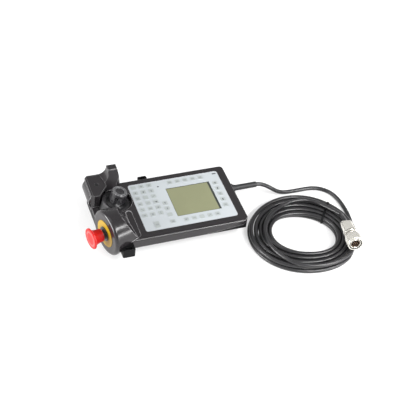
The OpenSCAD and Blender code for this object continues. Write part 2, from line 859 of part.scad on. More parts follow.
module stop_mushroom() {
    r0 = 12.5;
    waist = mushroom_r - 4.5;
    head_l = head_front - head_back;
    color([0.85, 0.12, 0.1]) barrel_frame() difference() {
        rotate_extrude($fn = 96) difference() {
            union() {
                polygon([[0, head_back], [r0 - 0.6, head_back], [r0, head_back + 0.6],
                    [r0 + 0.2, head_back + head_l / 4],
                    [r0 + 1.2, head_back + head_l / 2],
                    [waist, head_front - 4], [mushroom_r, head_front - 3],
                    [mushroom_r, head_front - head_edge], [0, head_front - head_edge]]);
                translate([0, head_front - 3]) square([mushroom_r - head_edge, 3]);
                translate([mushroom_r - head_edge, head_front - head_edge])
                    circle(head_edge);
            }
            // shallow ring in the face
            translate([12.5, head_front - 0.5]) square([2.5, 2]);
        }
        translate([0, 0, head_back - 1])
            cylinder(r = neck_r + 0.4, h = head_socket - head_back + 1);
        translate([0, 0, head_back - 1])
            cylinder(r = plunger_r + fit, h = head_front - 2.6 - head_back);
    }
}

// ---------------------------------------------------------------- grip

// plan of the grip block between the two heights, x measured along its foot
module grip_plan(right) {
    polygon([[x_left, grip_y0 + 5], [x_left + 5, grip_y0],
        [grip_x1 - bevel_run, grip_y0],
        [right, grip_y0 + bevel_slope * (right - grip_x1 + bevel_run)], [right, grip_y1],
        [x_left + 5, grip_y1], [x_left, grip_y1 - 5]]);
}

module guard_solid() {
    intersection() {
        translate([0, grip_y1 + 5, 0]) rotate([90, 0, 0]) linear_extrude(80) difference() {
            polygon([[sweep_x, deck_h - 12], [guard_x1, deck_h - 12], [guard_x1, deck_h],
                [guard_x1 - 4.5, guard_h - 1.5], [guard_x1 - 6, guard_h],
                [guard_x0 + 1.5, guard_h], [guard_x0, guard_h - 1.5],
                [guard_x0, grip_h + sweep_r], [sweep_x, grip_h + sweep_r]]);
            translate([sweep_x, grip_h + sweep_r]) circle(sweep_r);
        }
        translate([x_left, 0, 0]) rotate([90, 0, 90]) linear_extrude(guard_x1 - x_left)
            polygon([[guard_foot, deck_h], [guard_foot + 19, guard_h - 1.5],
                [guard_foot + 20.5, guard_h], [grip_y1 - 3, guard_h],
                [grip_y1 - 1.5, guard_h - 1.5], [grip_y1 - 0.5, grip_h - 2],
                [y_rear + seam, deck_h - 10], [y_rear + seam, deck_h]]);
        linear_extrude(2 * guard_h) polygon([[sweep_x - 1, joy_y + 10],
            [guard_x1 - 34, joy_y + 10], [guard_x1, guard_foot + 15],
            [guard_x1, grip_y1 + 1], [sweep_x - 1, grip_y1 + 1]]);
    }
}

module grip_cavity() {
    w = grip_wall;
    translate([0, 0, cavity_floor]) linear_extrude(cover_z - cavity_floor + eps)
        polygon([[x_left + w, grip_y0 + w], [grip_x1 - bevel_run - 1.9, grip_y0 + w],
            [grip_x1 - w, grip_y0 + w + bevel_slope * (bevel_run + 1.9 - w)],
            [grip_x1 - w, grip_y1 - w],
            [x_left + w, grip_y1 - w]]);
}

// outline of the cover plate
module cover_plan(extra) {
    e = extra;
    polygon([[x_left + 3.5 - e, grip_y1 - 2 + e], [x_left + 3.5 - e, grip_y0 + 4 - e],
        [x_left + 6 - e, grip_y0 + cover_inset - e],
        [grip_x1 - bevel_run - 0.6 + e, grip_y0 + cover_inset - e],
        [cover_right + e, cover_bend - e], [cover_right + e, cover_bend + 5.6],
        [grip_x1 - 1 + e, grip_y1 - 2 + e]]);
}

module grip_housing() {
    color([0.21, 0.21, 0.22]) difference() {
        union() {
            difference() {
                union() {
                    translate([0, 0, grip_floor])
                        linear_extrude(deck_h - grip_floor + eps)
                        grip_plan(grip_x1 - seam);
                    translate([0, 0, deck_h])
                        linear_extrude(grip_h - deck_h) grip_plan(cover_edge);
                    guard_solid();
                }
                grip_cavity();
                translate([0, 0, cover_z]) linear_extrude(grip_h) intersection() {
                    cover_plan(seam);
                    translate([cover_edge - 300, 0]) square(300);
                }
                cup_space(1);
            }
            // wall between the joystick and the inside of the grip
            intersection() {
                difference() {
                    cup_space(3.4);
                    cup_space(1);
                }
                translate([0, 0, grip_floor]) linear_extrude(deck_h - grip_floor)
                    grip_plan(grip_x1 - seam);
            }
            intersection() {
                translate([0, 0, grip_floor]) linear_extrude(cover_z - grip_floor)
                    grip_plan(grip_x1 - seam);
                union() {
                    translate([cover_post.x, cover_post.y, grip_floor])
                        cylinder(r = 4.5, h = 60);
                    for (p = grip_bolts_xy) translate([p.x, p.y, grip_floor])
                        cylinder(r = 4, h = 11);
                    // pedestal of the switch
                    box(grip_x1 - 17.5, grip_y1 - 21, grip_floor,
                        grip_x1 - grip_wall + 1, grip_y1 - 8, lever_z0 + 12);
                    // cheeks that carry the hinge pin
                    for (y = [lever_y0 - 4.5, lever_y1 + 0.5])
                        box(x_left + 1, y, grip_floor, lever_pin_x + 4, y + 4,
                            lever_pin_z + 4);
                }
            }
        }
        // opening of the lever
        box(x_left - 5, lever_y0 - 0.4, lever_z0 - 3.4, lever_pin_x + 4.5,
            lever_y1 + 0.4, lever_z1 + 1.4);
        translate([lever_pin_x, grip_y0 + 2, lever_pin_z]) rotate([-90, 0, 0])
            cylinder(r = lever_pin_r, h = grip_y1 - grip_y0 - 4);
        translate([cover_post.x, cover_post.y, cover_z - 16])
            cylinder(r = screw_r + fit, h = 30);
        for (p = concat(grip_bolts_xy, [guard_bolt_xy])) translate([p.x, p.y, 0])
            cylinder(r = screw_r + fit, h = grip_floor + 10);
        translate([guard_bolt_xy.x, guard_bolt_xy.y, 30])
            cylinder(r = screw_r + fit, h = deck_h - 18);
        // hollow of the guard, closed by the deck below
        translate([guard_x1 - 19, 0, 0]) rotate([90, 0, 90]) linear_extrude(11)
            polygon([[y_rear - 1, deck_h - 1], [guard_foot + 22, guard_h - 6],
                [grip_y1 - 5, guard_h - 6], [grip_y1 - 4, grip_h + 1],
                [y_rear + 3, deck_h - 1]]);
    }
}

module grip_cover() {
    color([0.25, 0.25, 0.26]) difference() {
        translate([0, 0, cover_z]) linear_extrude(cover_t) intersection() {
            cover_plan(0);
            translate([cover_edge - seam - 300, 0]) square(300);
        }
        translate([cover_post.x, cover_post.y, 0])
            cylinder(r = screw_r + fit, h = 100);
        translate([cover_post.x, cover_post.y, cover_z + 0.7])
            cylinder(r = 4.4, h = 10);
    }
}

module cover_screw() {
    color([0.5, 0.5, 0.52]) translate([cover_post.x, cover_post.y, cover_z + 0.7])
        difference() {
            union() {
                cylinder(r = 3.4, h = 1.1);
                translate([0, 0, -15]) cylinder(r = screw_r, h = 15.5);
            }
            translate([0, 0, 0.4]) cylinder(r = 1.25, h = 3, $fn = 6);
        }
}

module grip_bolts() {
    color([0.6, 0.6, 0.62]) {
        for (p = grip_bolts_xy) translate([p.x, p.y, grip_floor - wall - 2.2]) {
            cylinder(r = 2.8, h = 2.2);
            cylinder(r = screw_r, h = wall + 2.2 + 8);
        }
        translate([guard_bolt_xy.x, guard_bolt_xy.y, deck_under - 2.2]) {
            cylinder(r = 2.8, h = 2.2);
            cylinder(r = screw_r, h = deck_t + 2.2 + 9);
        }
    }
}

module enabling_lever() {
    hub = lever_pin_r + 2;
    h = lever_z1 - lever_z0;
    // bulge: circle through the two ends of the outer face
    b = lever_bulge;
    r = (h * h / 4 + b * b) / (2 * b);
    color([0.1, 0.1, 0.11]) difference() {
        union() {
            translate([0, lever_y1, 0]) rotate([90, 0, 0])
                linear_extrude(lever_y1 - lever_y0) difference() {
                    intersection() {
                        translate([x_left - b + r - 0.3, lever_z0 + h / 2]) circle(r);
                        translate([x_left - b - 1, lever_z0])
                            square([b + 1 + 3.2, h]);
                    }
                    translate([x_left - b + r + 3.4, lever_z0 + h / 2 + 4]) circle(r);
                }
            translate([lever_pin_x, lever_y1, lever_pin_z]) rotate([90, 0, 0])
                cylinder(r = hub, h = lever_y1 - lever_y0);
            box(x_left + 1, lever_y0, lever_z0, lever_pin_x, lever_y1, lever_z0 + 4);
            // rib that presses the switch
            box(x_left - 2.5, grip_y1 - 17, lever_z0 + 16.5,
                grip_x1 - 21.3, grip_y1 - 12, lever_z0 + 20.5);
        }
        translate([lever_pin_x, 0, lever_pin_z]) rotate([-90, 0, 0])
            cylinder(r = lever_pin_r + fit, h = 300);
        // room for the return spring
        box(x_left + 3.4, grip_y0 + 26, lever_z0 - 2, lever_pin_x + 5,
            grip_y0 + 36, lever_z0 + 30);
    }
}

module lever_pin() {
    color([0.75, 0.75, 0.77])
        translate([lever_pin_x, grip_y0 + 2, lever_pin_z]) rotate([-90, 0, 0])
            cylinder(r = lever_pin_r, h = grip_y1 - grip_y0 - 4);
}

module lever_spring() {
    color([0.7, 0.7, 0.72]) {
        for (i = [0:4])
            translate([lever_pin_x, grip_y0 + 28 + i, lever_pin_z])
                rotate([90, 0, 0]) rotate_extrude() translate([2.5, 0]) circle(0.55);
        translate([lever_pin_x - 2.5, grip_y0 + 32, lever_pin_z])
            cylinder(r = 0.5, h = 9);
        translate([lever_pin_x + 2.5, grip_y0 + 28, cavity_floor - 0.5])
            cylinder(r = 0.5, h = lever_pin_z - cavity_floor + 0.5);
    }
}

module enabling_switch() {
    color([0.12, 0.12, 0.13]) translate([grip_x1 - 17.5, grip_y1 - 21, lever_z0 + 12]) {
        cube([13.5, 12.5, 13]);
        translate([-0.8, 4.5, 4.8]) cube([1, 3.6, 3.4]);
    }
}

// ---------------------------------------------------------------- strap clips

module strap_clip_front() {
    y0 = clip_front_y;
    color([0.13, 0.13, 0.14]) difference() {
        soft_block(x_cheek + 2, y0, 27, x_cheek + 26, y_front + 6, 46, 3, 2);
        barrel_solid(0, 0);
        soft_block(x_cheek, y_front, -20, x_right, y_rear, deck_h, corner_r, edge_r);
        box(x_cheek + 7, y0 + 3, 0, x_cheek + 21, y0 + 8, 90);
    }
}

module strap_clip_rear() {
    color([0.13, 0.13, 0.14]) difference() {
        translate([0, 0, deck_h - 9]) linear_extrude(6)
            round_rect(rear_clip_x - 9, y_rear - 2, rear_clip_x + 9, y_rear + 9, 2.5);
        translate([0, 0, deck_h - 20]) linear_extrude(40)
            square([400, 2 * y_rear], center = true);
        box(rear_clip_x - 5.5, y_rear + 1.8, 0, rear_clip_x + 5.5, y_rear + 6.8, deck_h);
    }
}

// ---------------------------------------------------------------- cable

module cable_gland() {
    color([0.1, 0.1, 0.1]) gland_frame() difference() {
        union() {
            translate([0, 0, -wall - 9]) cylinder(r = gland_thread_r, h = wall + 10);
            cylinder(r = 9.5, h = gland_flange - 1.2);
            cylinder(r = 8.3, h = gland_flange);
        }
        translate([0, 0, -40]) cylinder(r = cable_r + fit, h = 80);
    }
}

module gland_nut() {
    color([0.12, 0.12, 0.12]) gland_frame() translate([0, 0, -wall - 5]) difference() {
        cylinder(r = 10, h = 4, $fn = 6);
        translate([0, 0, -1]) cylinder(r = gland_thread_r + fit, h = 8);
    }
}

module bend_sleeve() {
    color([0.13, 0.13, 0.13]) gland_frame() translate([0, 0, gland_flange]) {
        difference() {
            union() {
                cylinder(r = sleeve_d / 2, h = sleeve_l - 1);
                cylinder(r = sleeve_d / 2 - 0.8, h = sleeve_l);
                cylinder(r = sleeve_d / 2 + 1, h = 4);
            }
            translate([0, 0, -1]) cylinder(r = cable_r + fit, h = sleeve_l + 2);
        }
    }
}

module cable_lead() {
    color([0.12, 0.12, 0.12]) cable_frame() tube(lead_points, cable_r, 10);
}

module cable_tail() {
    color([0.12, 0.12, 0.12]) cable_frame() tube(tail_points, cable_r, 10);
}

module cable_coil() {
    color([0.14, 0.14, 0.14]) cable_frame() translate(coil_pos) rotate_extrude()
        round_rect(coil_r - coil_band, 0.1, coil_r, coil_h, 6);
}

module cable_ties() {
    color([0.08, 0.08, 0.08]) cable_frame() translate(coil_pos)
        for (a = [24]) rotate([0, 0, a]) translate([coil_r - coil_band / 2, 0, 0])
            difference() {
                translate([-coil_band / 2 - 1.4, -2, 0])
                    cube([coil_band + 2.8, 4, coil_h + 1.4]);
                translate([-coil_band / 2 - seam, -3, -1])
                    cube([coil_band + 2 * seam, 6, coil_h + 1 + seam]);
            }
}

// ---------------------------------------------------------------- connector

module connector_backshell() {
    color([0.78, 0.76, 0.7]) conn_frame() difference() {
        rotate_extrude() {
            square([shell_r - 1, 26]);
            translate([0, 1]) square([shell_r, 24]);
            translate([shell_r - 1, 1]) circle(1);
            translate([0, 19]) square([shell_r + 1.2, 7]);
        }
        translate([0, 0, -1]) cylinder(r = cable_r + 0.6, h = 12);
        translate([0, 0, 10]) cylinder(r = shell_r - 2.4, h = 20);
        for (s = [-1, 1]) translate([s * (cable_r + 3.4), 0, -1])
            cylinder(r = 1.1, h = 7);
    }
}

module connector_clamp() {
    color([0.72, 0.7, 0.65]) conn_frame() translate([0, 0, -6]) difference() {
        intersection() {
            cylinder(r = shell_r - 1, h = 6);
            translate([-20, -6.5, 0]) cube([40, 13, 6]);
        }
        translate([0, 0, -1]) cylinder(r = cable_r + fit, h = 8);
        for (s = [-1, 1]) translate([s * (cable_r + 3.4), 0, -1])
            cylinder(r = 1.1, h = 8);
    }
}

module clamp_screws() {
    color([0.6, 0.6, 0.6]) conn_frame()
        for (s = [-1, 1]) translate([s * (cable_r + 3.4), 0, 0]) {
            translate([0, 0, -7.6]) cylinder(r = 2, h = 1.6);
            translate([0, 0, -6.5]) cylinder(r = 1.05, h = 11.5);
        }
}

module connector_barrel() {
    color([0.78, 0.76, 0.7]) conn_frame() difference() {
        union() {
            translate([0, 0, 26]) cylinder(r = plug_r, h = connector_l - 26);
            translate([0, 0, barrel_end - 2]) cylinder(r = plug_r + 1, h = 2);
        }
        translate([0, 0, 20]) cylinder(r = plug_r - 1.6, h = 60);
    }
}

module coupling_ring() {
    n = 30;
    color([0.8, 0.78, 0.72]) conn_frame() translate([0, 0, barrel_end + gap])
        difference() {
            union() {
                cylinder(r = ring_r - 0.7, h = connector_l - barrel_end + 1);
                translate([0, 0, 1.5])
                    cylinder(r = ring_r, h = connector_l - barrel_end - 4);
            }
            translate([0, 0, -1]) cylinder(r = plug_r + fit, h = 60);
            for (i = [0:n - 1]) rotate([0, 0, i * 360 / n])
                translate([ring_r + 0.4, 0, 1]) cylinder(r = 1, h = 14, $fn = 12);
        }
}

module connector_insert() {
    color([0.1, 0.1, 0.1]) conn_frame() {
        translate([0, 0, 30]) cylinder(r = plug_r - 1.6 - fit, h = connector_l - barrel_end);
    }
}

module connector_pins() {
    color([0.85, 0.7, 0.35]) conn_frame()
        translate([0, 0, connector_l - 6]) {
            cylinder(r = 0.7, h = 5);
            for (i = [0:5]) rotate([0, 0, i * 60]) translate([4, 0, 0])
                cylinder(r = 0.7, h = 5);
            for (i = [0:10]) rotate([0, 0, i * 360 / 11]) translate([8, 0, 0])
                cylinder(r = 0.7, h = 5);
        }
}

// ---------------------------------------------------------------- drawing

place() {
    top_shell();
    bottom_shell();
    shell_screws();
    keypad_sheet();
    keypad_board();
    snap_domes();
    display_window();
    display_frame();
    lcd_module();
    main_board();
    board_standoffs();
    joystick_cup();
    joystick_bezel();
    joystick_boot();
    joystick_gimbal();
    joystick_stem();
    joystick_knob();
    joystick_cap();
    centring_ring();
    sensor_board();
    stop_label_disc();
    stop_collar();
    stop_bush();
    stop_locknut();
    stop_contact_block();
    stop_plunger();
    stop_mushroom();
    grip_housing();
    grip_cover();
    cover_screw();
    grip_bolts();
    enabling_lever();
    lever_pin();
    lever_spring();
    enabling_switch();
    strap_clip_front();
    strap_clip_rear();
    cable_gland();
    gland_nut();
    bend_sleeve();
    cable_lead();
    cable_coil();
    cable_tail();
    cable_ties();
    connector_backshell();
    connector_clamp();
    clamp_screws();
    connector_barrel();
    coupling_ring();
    connector_insert();
    connector_pins();
}
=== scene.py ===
"""Wired teach pendant: finishes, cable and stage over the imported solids."""
import json
import math
import bmesh
import bpy
from mathutils import Matrix, Vector


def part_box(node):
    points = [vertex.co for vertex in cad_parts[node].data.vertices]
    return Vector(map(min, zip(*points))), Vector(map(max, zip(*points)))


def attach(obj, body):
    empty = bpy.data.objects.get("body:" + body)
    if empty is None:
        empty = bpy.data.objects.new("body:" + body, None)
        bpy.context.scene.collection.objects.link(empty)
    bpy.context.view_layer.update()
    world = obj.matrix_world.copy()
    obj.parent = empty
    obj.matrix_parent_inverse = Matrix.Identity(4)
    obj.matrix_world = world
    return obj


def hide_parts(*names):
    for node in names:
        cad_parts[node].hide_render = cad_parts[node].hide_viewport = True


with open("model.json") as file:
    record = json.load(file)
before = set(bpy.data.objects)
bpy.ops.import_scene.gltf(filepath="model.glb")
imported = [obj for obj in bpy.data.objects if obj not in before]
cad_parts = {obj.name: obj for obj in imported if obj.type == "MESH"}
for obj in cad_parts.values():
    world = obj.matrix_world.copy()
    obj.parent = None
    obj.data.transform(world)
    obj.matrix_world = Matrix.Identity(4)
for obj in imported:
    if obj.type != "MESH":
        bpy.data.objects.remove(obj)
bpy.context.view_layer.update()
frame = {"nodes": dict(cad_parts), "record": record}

bl_info = {
    "name": "Teach Pendant",
    "version": (1, 0, 0),
    "blender": (4, 5, 0),
    "location": "View3D > Sidebar > Pendant",
    "description": "Dresses the teach pendant: case, keypad, controls, cable and stage",
    "category": "Object",
}

MM = 0.001
SHEET_LO, SHEET_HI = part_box("keypad_sheet")
KEYPAD = (SHEET_LO + SHEET_HI) / 2
JOINTS = {j["name"]: j for j in frame["record"]["behaviour"]["joints"]}


def from_keypad(x, y, z):
    """Point given in millimetres from the keypad centre, in the row frame."""
    return Vector((KEYPAD.x + x * MM, KEYPAD.y + y * MM, z * MM))


# ------------------------------------------------------------------ settings

def colour(name, default, what):
    return bpy.props.FloatVectorProperty(name=name, description=what, default=default,
                                         size=4, min=0, max=1, subtype="COLOR")


class PendantCaseSettings(bpy.types.PropertyGroup):
    """Colours and grain of the mouldings."""
    shell: colour("Upper shell", (0.0165, 0.0145, 0.0160, 1),
                  "Colour of the charcoal mouldings")
    base: colour("Lower shell", (0.004, 0.004, 0.0045, 1), "Colour of the black mouldings")
    grain: bpy.props.FloatProperty(
        name="Grain", description="Size of the moulded grain", default=0.0006,
        min=0.0001, max=0.005, unit="LENGTH")


class PendantKeypadSettings(bpy.types.PropertyGroup):
    """Colours of the keypad film and the display."""
    film: colour("Film", (0.445, 0.476, 0.495, 1), "Colour of the printed film")
    key: colour("Key pads", (0.355, 0.385, 0.38, 1), "Colour of the raised key pads")
    mark: colour("Marks", (0.16, 0.17, 0.18, 1), "Colour of the printed marks")
    strong: colour("Strong marks", (0.03, 0.03, 0.04, 1), "Colour of the darkest marks")
    display: colour("Display", (0.218, 0.226, 0.130, 1), "Colour of the resting display")
    # Colour of the display's thin border and of the painted shade strips at its right and back.
    border_and_shade: colour("Border", (0.035, 0.04, 0.035, 1), "Colour of the display's border")


class PendantControlSettings(bpy.types.PropertyGroup):
    """Colours of the stop button and the joystick."""
    stop: colour("Stop button", (0.44, 0.009, 0.008, 1), "Colour of the mushroom head")
    label: colour("Label disc", (0.38, 0.235, 0.006, 1), "Colour of the disc behind the button")
    stick: colour("Joystick", (0.018, 0.017, 0.019, 1), "Colour of the joystick's plastic")
    # The knob's rings are raised beads; their colour, far lighter than the knob, is a painted
    # highlight.
    gloss: colour("Knob rings", (0.12, 0.118, 0.122, 1), "Colour of the knob's glossy rings")
    # The face ring is a raised bead; its light pink on the red head is a painted highlight.
    ring: colour("Face ring", (0.55, 0.11, 0.10, 1), "Colour of the ring in the stop button")


class PendantCableSettings(bpy.types.PropertyGroup):
    """Size and colour of the cable."""
    diameter: bpy.props.FloatProperty(
        name="Diameter", description="Outer diameter of the cable", default=0.0084,
        min=0.006, max=0.010, unit="LENGTH")
    pitch: bpy.props.FloatProperty(
        name="Pitch", description="Distance between turns of the coil", default=0.0086,
        min=0.008, max=0.010, unit="LENGTH")
    jacket: colour("Jacket", (0.0155, 0.0149, 0.0163, 1), "Colour of the cable's jacket")
    nickel: colour("Nickel", (0.76, 0.74, 0.68, 1), "Colour of the plug's plating")


class PendantStageSettings(bpy.types.PropertyGroup):
    """Floor, lights and camera."""
    floor: colour("Floor", (0.55, 0.55, 0.55, 1), "Colour of the floor")
    glow: bpy.props.FloatProperty(
        name="Glow", description="White that the floor adds of itself where it is seen",
        default=0.46, min=0, max=1)
    sky: bpy.props.FloatProperty(
        name="Sky", description="Brightness of the white surroundings", default=0.48, min=0)
    sun: bpy.props.FloatProperty(
        name="Sun", description="Strength of the soft light from above", default=0.5, min=0)
    side: bpy.props.FloatProperty(
        name="Side light", description="Power of the large lamp on the left", default=56,
        min=0, subtype="POWER")
    front: bpy.props.FloatProperty(
        name="Front light", description="Power of the low lamp in front", default=22,
        min=0, subtype="POWER")
    strip: bpy.props.FloatProperty(
        name="Strip", description="Power of the strip lamp that draws the highlights",
        default=22, min=0, subtype="POWER")
    lens: bpy.props.FloatProperty(
        name="Lens", description="Focal length on a 36 mm sensor", default=88.68,
        min=20, max=200, subtype="DISTANCE_CAMERA")


# ------------------------------------------------------------------ materials

def socket(tree, name, kind, way, default=None):
    s = tree.interface.new_socket(name=name, in_out=way, socket_type=kind)
    if default is not None:
        s.default_value = default
    return s


def group_tree(name):
    tree = bpy.data.node_groups.new(name, "ShaderNodeTree")
    return tree, tree.nodes, tree.links


def build_grain_group():
    """Fine moulded grain: a height and a soft cloud that varies the gloss."""
    tree, nodes, links = group_tree("moulded_grain")
    socket(tree, "Grain Size", "NodeSocketFloat", "INPUT", 0.0006)
    socket(tree, "Cloud Size", "NodeSocketFloat", "INPUT", 0.03)
    socket(tree, "Height", "NodeSocketFloat", "OUTPUT")
    socket(tree, "Cloud", "NodeSocketFloat", "OUTPUT")
    inp, out = nodes.new("NodeGroupInput"), nodes.new("NodeGroupOutput")
    coords = nodes.new("ShaderNodeTexCoord")
    for size, detail, key in (("Grain Size", 2, "Height"), ("Cloud Size", 4, "Cloud")):
        per = nodes.new("ShaderNodeMath")
        per.operation = "DIVIDE"
        per.inputs[0].default_value = 1.0
        links.new(inp.outputs[size], per.inputs[1])
        noise = nodes.new("ShaderNodeTexNoise")
        noise.inputs["Detail"].default_value = detail
        links.new(coords.outputs["Object"], noise.inputs["Vector"])
        links.new(per.outputs[0], noise.inputs["Scale"])
        links.new(noise.outputs["Fac"], out.inputs[key])
    return tree


def build_scuff_group():
    """Faint handling marks: thin scratches in patches, for colour and gloss."""
    tree, nodes, links = group_tree("handling_marks")
    socket(tree, "Scale", "NodeSocketFloat", "INPUT", 60)
    socket(tree, "Mask", "NodeSocketFloat", "OUTPUT")
    inp, out = nodes.new("NodeGroupInput"), nodes.new("NodeGroupOutput")
    coords = nodes.new("ShaderNodeTexCoord")
    stretch = nodes.new("ShaderNodeMapping")
    stretch.inputs["Rotation"].default_value = (0.3, 0.2, 0.7)
    stretch.inputs["Scale"].default_value = (0.15, 6, 1)
    links.new(coords.outputs["Object"], stretch.inputs["Vector"])
    lines = nodes.new("ShaderNodeTexNoise")
    lines.inputs["Detail"].default_value = 3
    links.new(stretch.outputs[0], lines.inputs["Vector"])
    links.new(inp.outputs["Scale"], lines.inputs["Scale"])
    patches = nodes.new("ShaderNodeTexNoise")
    patches.inputs["Scale"].default_value = 22
    links.new(coords.outputs["Object"], patches.inputs["Vector"])
    both = nodes.new("ShaderNodeMath")
    both.operation = "MULTIPLY"
    for slot, (noise, low, high) in enumerate(((lines, 0.62, 0.74), (patches, 0.5, 0.7))):
        ramp = nodes.new("ShaderNodeMapRange")
        ramp.inputs["From Min"].default_value = low
        ramp.inputs["From Max"].default_value = high
        links.new(noise.outputs["Fac"], ramp.inputs["Value"])
        links.new(ramp.outputs[0], both.inputs[slot])
    links.new(both.outputs[0], out.inputs["Mask"])
    return tree


def shared_group(name, build):
    return bpy.data.node_groups.get(name) or build()


CLOUD_SIZE = 0.03          # metres across one soft change of colour
GLOSS_SWING = 0.06         # change of roughness either way over a cloud
DENT_DEPTH = 0.0002        # metres of grain at full strength
BEVEL_SAMPLES = 6
# The painted edge highlight: samples, and the cosines at which it starts and is full.
HIGHLIGHT_SAMPLES = 8
HIGHLIGHT_FROM, HIGHLIGHT_FULL = 0.992, 0.945   # cosine of the turn away from the flat face
SCUFF_GAIN, SCUFF_LIFT = 1.35, 0.012  # how much lighter a scuffed patch is


def finish(name, base, rough=0.5, grain=0.0006, bump=0.25, metal=0.0, vary=0.12,
           scuff=0.35, coat=0.0, spec=0.5, edge=0.0, edge_highlight_colour=None):
    """Material with moulded grain, a soft change of colour and faint handling marks.

    An edge is the radius, in metres, by which corners look rounded. With a highlight
    colour, the edges also turn to that colour as a painted highlight.
    """
    mat = bpy.data.materials.new(name)
    mat.use_nodes = True
    nodes, links = mat.node_tree.nodes, mat.node_tree.links
    bsdf = nodes["Principled BSDF"]
    bsdf.inputs["Metallic"].default_value = metal
    bsdf.inputs["Coat Weight"].default_value = coat
    bsdf.inputs["Specular IOR Level"].default_value = spec
    tex = nodes.new("ShaderNodeGroup")
    tex.node_tree = shared_group("moulded_grain", build_grain_group)
    tex.inputs["Grain Size"].default_value = grain
    tex.inputs["Cloud Size"].default_value = CLOUD_SIZE
    marks = nodes.new("ShaderNodeGroup")
    marks.node_tree = shared_group("handling_marks", build_scuff_group)
    mix = nodes.new("ShaderNodeMix")
    mix.data_type = "RGBA"
    mix.inputs["A"].default_value = [c * (1 - vary) for c in base[:3]] + [1]
    mix.inputs["B"].default_value = [min(1, c * (1 + vary)) for c in base[:3]] + [1]
    links.new(tex.outputs["Cloud"], mix.inputs["Factor"])
    worn = nodes.new("ShaderNodeMix")
    worn.data_type = "RGBA"
    worn.inputs["B"].default_value = [
        min(1, c * SCUFF_GAIN + SCUFF_LIFT) for c in base[:3]] + [1]
    faint = nodes.new("ShaderNodeMath")
    faint.operation = "MULTIPLY"
    faint.inputs[1].default_value = scuff
    links.new(marks.outputs["Mask"], faint.inputs[0])
    links.new(faint.outputs[0], worn.inputs["Factor"])
    links.new(mix.outputs["Result"], worn.inputs["A"])
    surface = worn.outputs["Result"]
    # Edges lightened to the highlight colour: a painted highlight.
    if edge_highlight_colour:
        surface = paint_edge_highlight(nodes, links, surface, edge, edge_highlight_colour)
    links.new(surface, bsdf.inputs["Base Color"])
    gloss = nodes.new("ShaderNodeMapRange")
    gloss.inputs["To Min"].default_value = rough - GLOSS_SWING
    gloss.inputs["To Max"].default_value = rough + GLOSS_SWING
    links.new(tex.outputs["Cloud"], gloss.inputs["Value"])
    links.new(gloss.outputs[0], bsdf.inputs["Roughness"])
    dents = nodes.new("ShaderNodeBump")
    dents.inputs["Strength"].default_value = bump
    dents.inputs["Distance"].default_value = DENT_DEPTH
    links.new(tex.outputs["Height"], dents.inputs["Height"])
    links.new(dents.outputs[0], bsdf.inputs["Normal"])
    if edge:
        worn_edge = nodes.new("ShaderNodeBevel")
        worn_edge.samples = BEVEL_SAMPLES
        worn_edge.inputs["Radius"].default_value = edge
        links.new(worn_edge.outputs[0], dents.inputs["Normal"])
    return mat


def paint_edge_highlight(nodes, links, surface, radius, edge_highlight_colour):
    """Painted highlight: colour that turns lighter where two faces meet, standing in for light
    on rounded edges.
    """
    soft = nodes.new("ShaderNodeBevel")
    soft.samples = HIGHLIGHT_SAMPLES
    soft.inputs["Radius"].default_value = radius
    flat = nodes.new("ShaderNodeNewGeometry")
    same = nodes.new("ShaderNodeVectorMath")
    same.operation = "DOT_PRODUCT"
    links.new(soft.outputs[0], same.inputs[0])
    links.new(flat.outputs["Normal"], same.inputs[1])
    mask = nodes.new("ShaderNodeMapRange")
    mask.inputs["From Min"].default_value = HIGHLIGHT_FROM
    mask.inputs["From Max"].default_value = HIGHLIGHT_FULL
    links.new(same.outputs["Value"], mask.inputs["Value"])
    mix = nodes.new("ShaderNodeMix")
    mix.data_type = "RGBA"
    mix.inputs["B"].default_value = (*edge_highlight_colour, 1)
    links.new(mask.outputs[0], mix.inputs["Factor"])
    links.new(surface, mix.inputs["A"])
    return mix.outputs["Result"]


def dress(material, *names):
    """Gives CAD nodes a finish."""
    for name in names:
        mesh = frame["nodes"][name].data
        mesh.materials.clear()
        mesh.materials.append(material)


SHARP_FROM = 30            # degrees between two faces that stay a sharp edge


def to_object(name, bm, material):
    """Object at the origin from a bmesh whose place is in its points."""
    bmesh.ops.remove_doubles(bm, verts=bm.verts, dist=1e-6)
    bmesh.ops.recalc_face_normals(bm, faces=bm.faces)
    mesh = bpy.data.meshes.new(name)
    bm.to_mesh(mesh)
    bm.free()
    mesh.materials.append(material)
    obj = bpy.data.objects.new(name, mesh)
    bpy.context.scene.collection.objects.link(obj)
    mesh.shade_smooth()
    mesh.set_sharp_from_angle(angle=math.radians(SHARP_FROM))
    return obj


# ------------------------------------------------------------------ cable route

# All in millimetres from the keypad centre, and in degrees anticlockwise from the X axis.
GLAND_FOOT = Vector((111, 23, 0))
COIL_CENTRE = Vector((215, -105, 0))
COIL_INNER, COIL_OUTER = 66.5, 102.6
COIL_START = -24
COIL_TURNED = 3544         # degrees wound in all, clockwise
COIL_STEP = 18
LAYER_LOW = 4.5            # height of the lowest layer's centreline
LAYER_RISE = 8.5
CLIMB_TURNS = 0.4          # turns over which the cable climbs one layer
TOP_DRIFT = 9.6            # by which the top layer ends further in than it starts
TOP_SWING = 22             # by which its turns reach inwards half-way
WIDE_BELOW = 17            # the two lower layers spread a little at the left
WIDE_SPREAD = 0.15
NARROW_AXIS = math.radians(64)
NARROW_NEAR, NARROW_FAR = 0.32, 0.40
NEAR_PULL = 4              # all turns come in by this at the near end
SIDE_PUSH = 9              # and go out by this a quarter turn further
LOOSE_AXIS = math.radians(58)
LOOSE_GAP = 6.5            # by which the inner turns stand off the first one
LOOSE_FROM, LOOSE_OVER = 0.8, 0.2
TIE_AT = 30
TIE_SKEW = 22              # degrees off the way straight across the turns
TIE_WIDTH = 4.5
TIE_THICK = 0.9
TIE_SLACK = 0.2            # between the cable and the tie
TIE_REACH = 60             # turns further than this from the tie stay out of it
FLOOR_GAP = 0.05


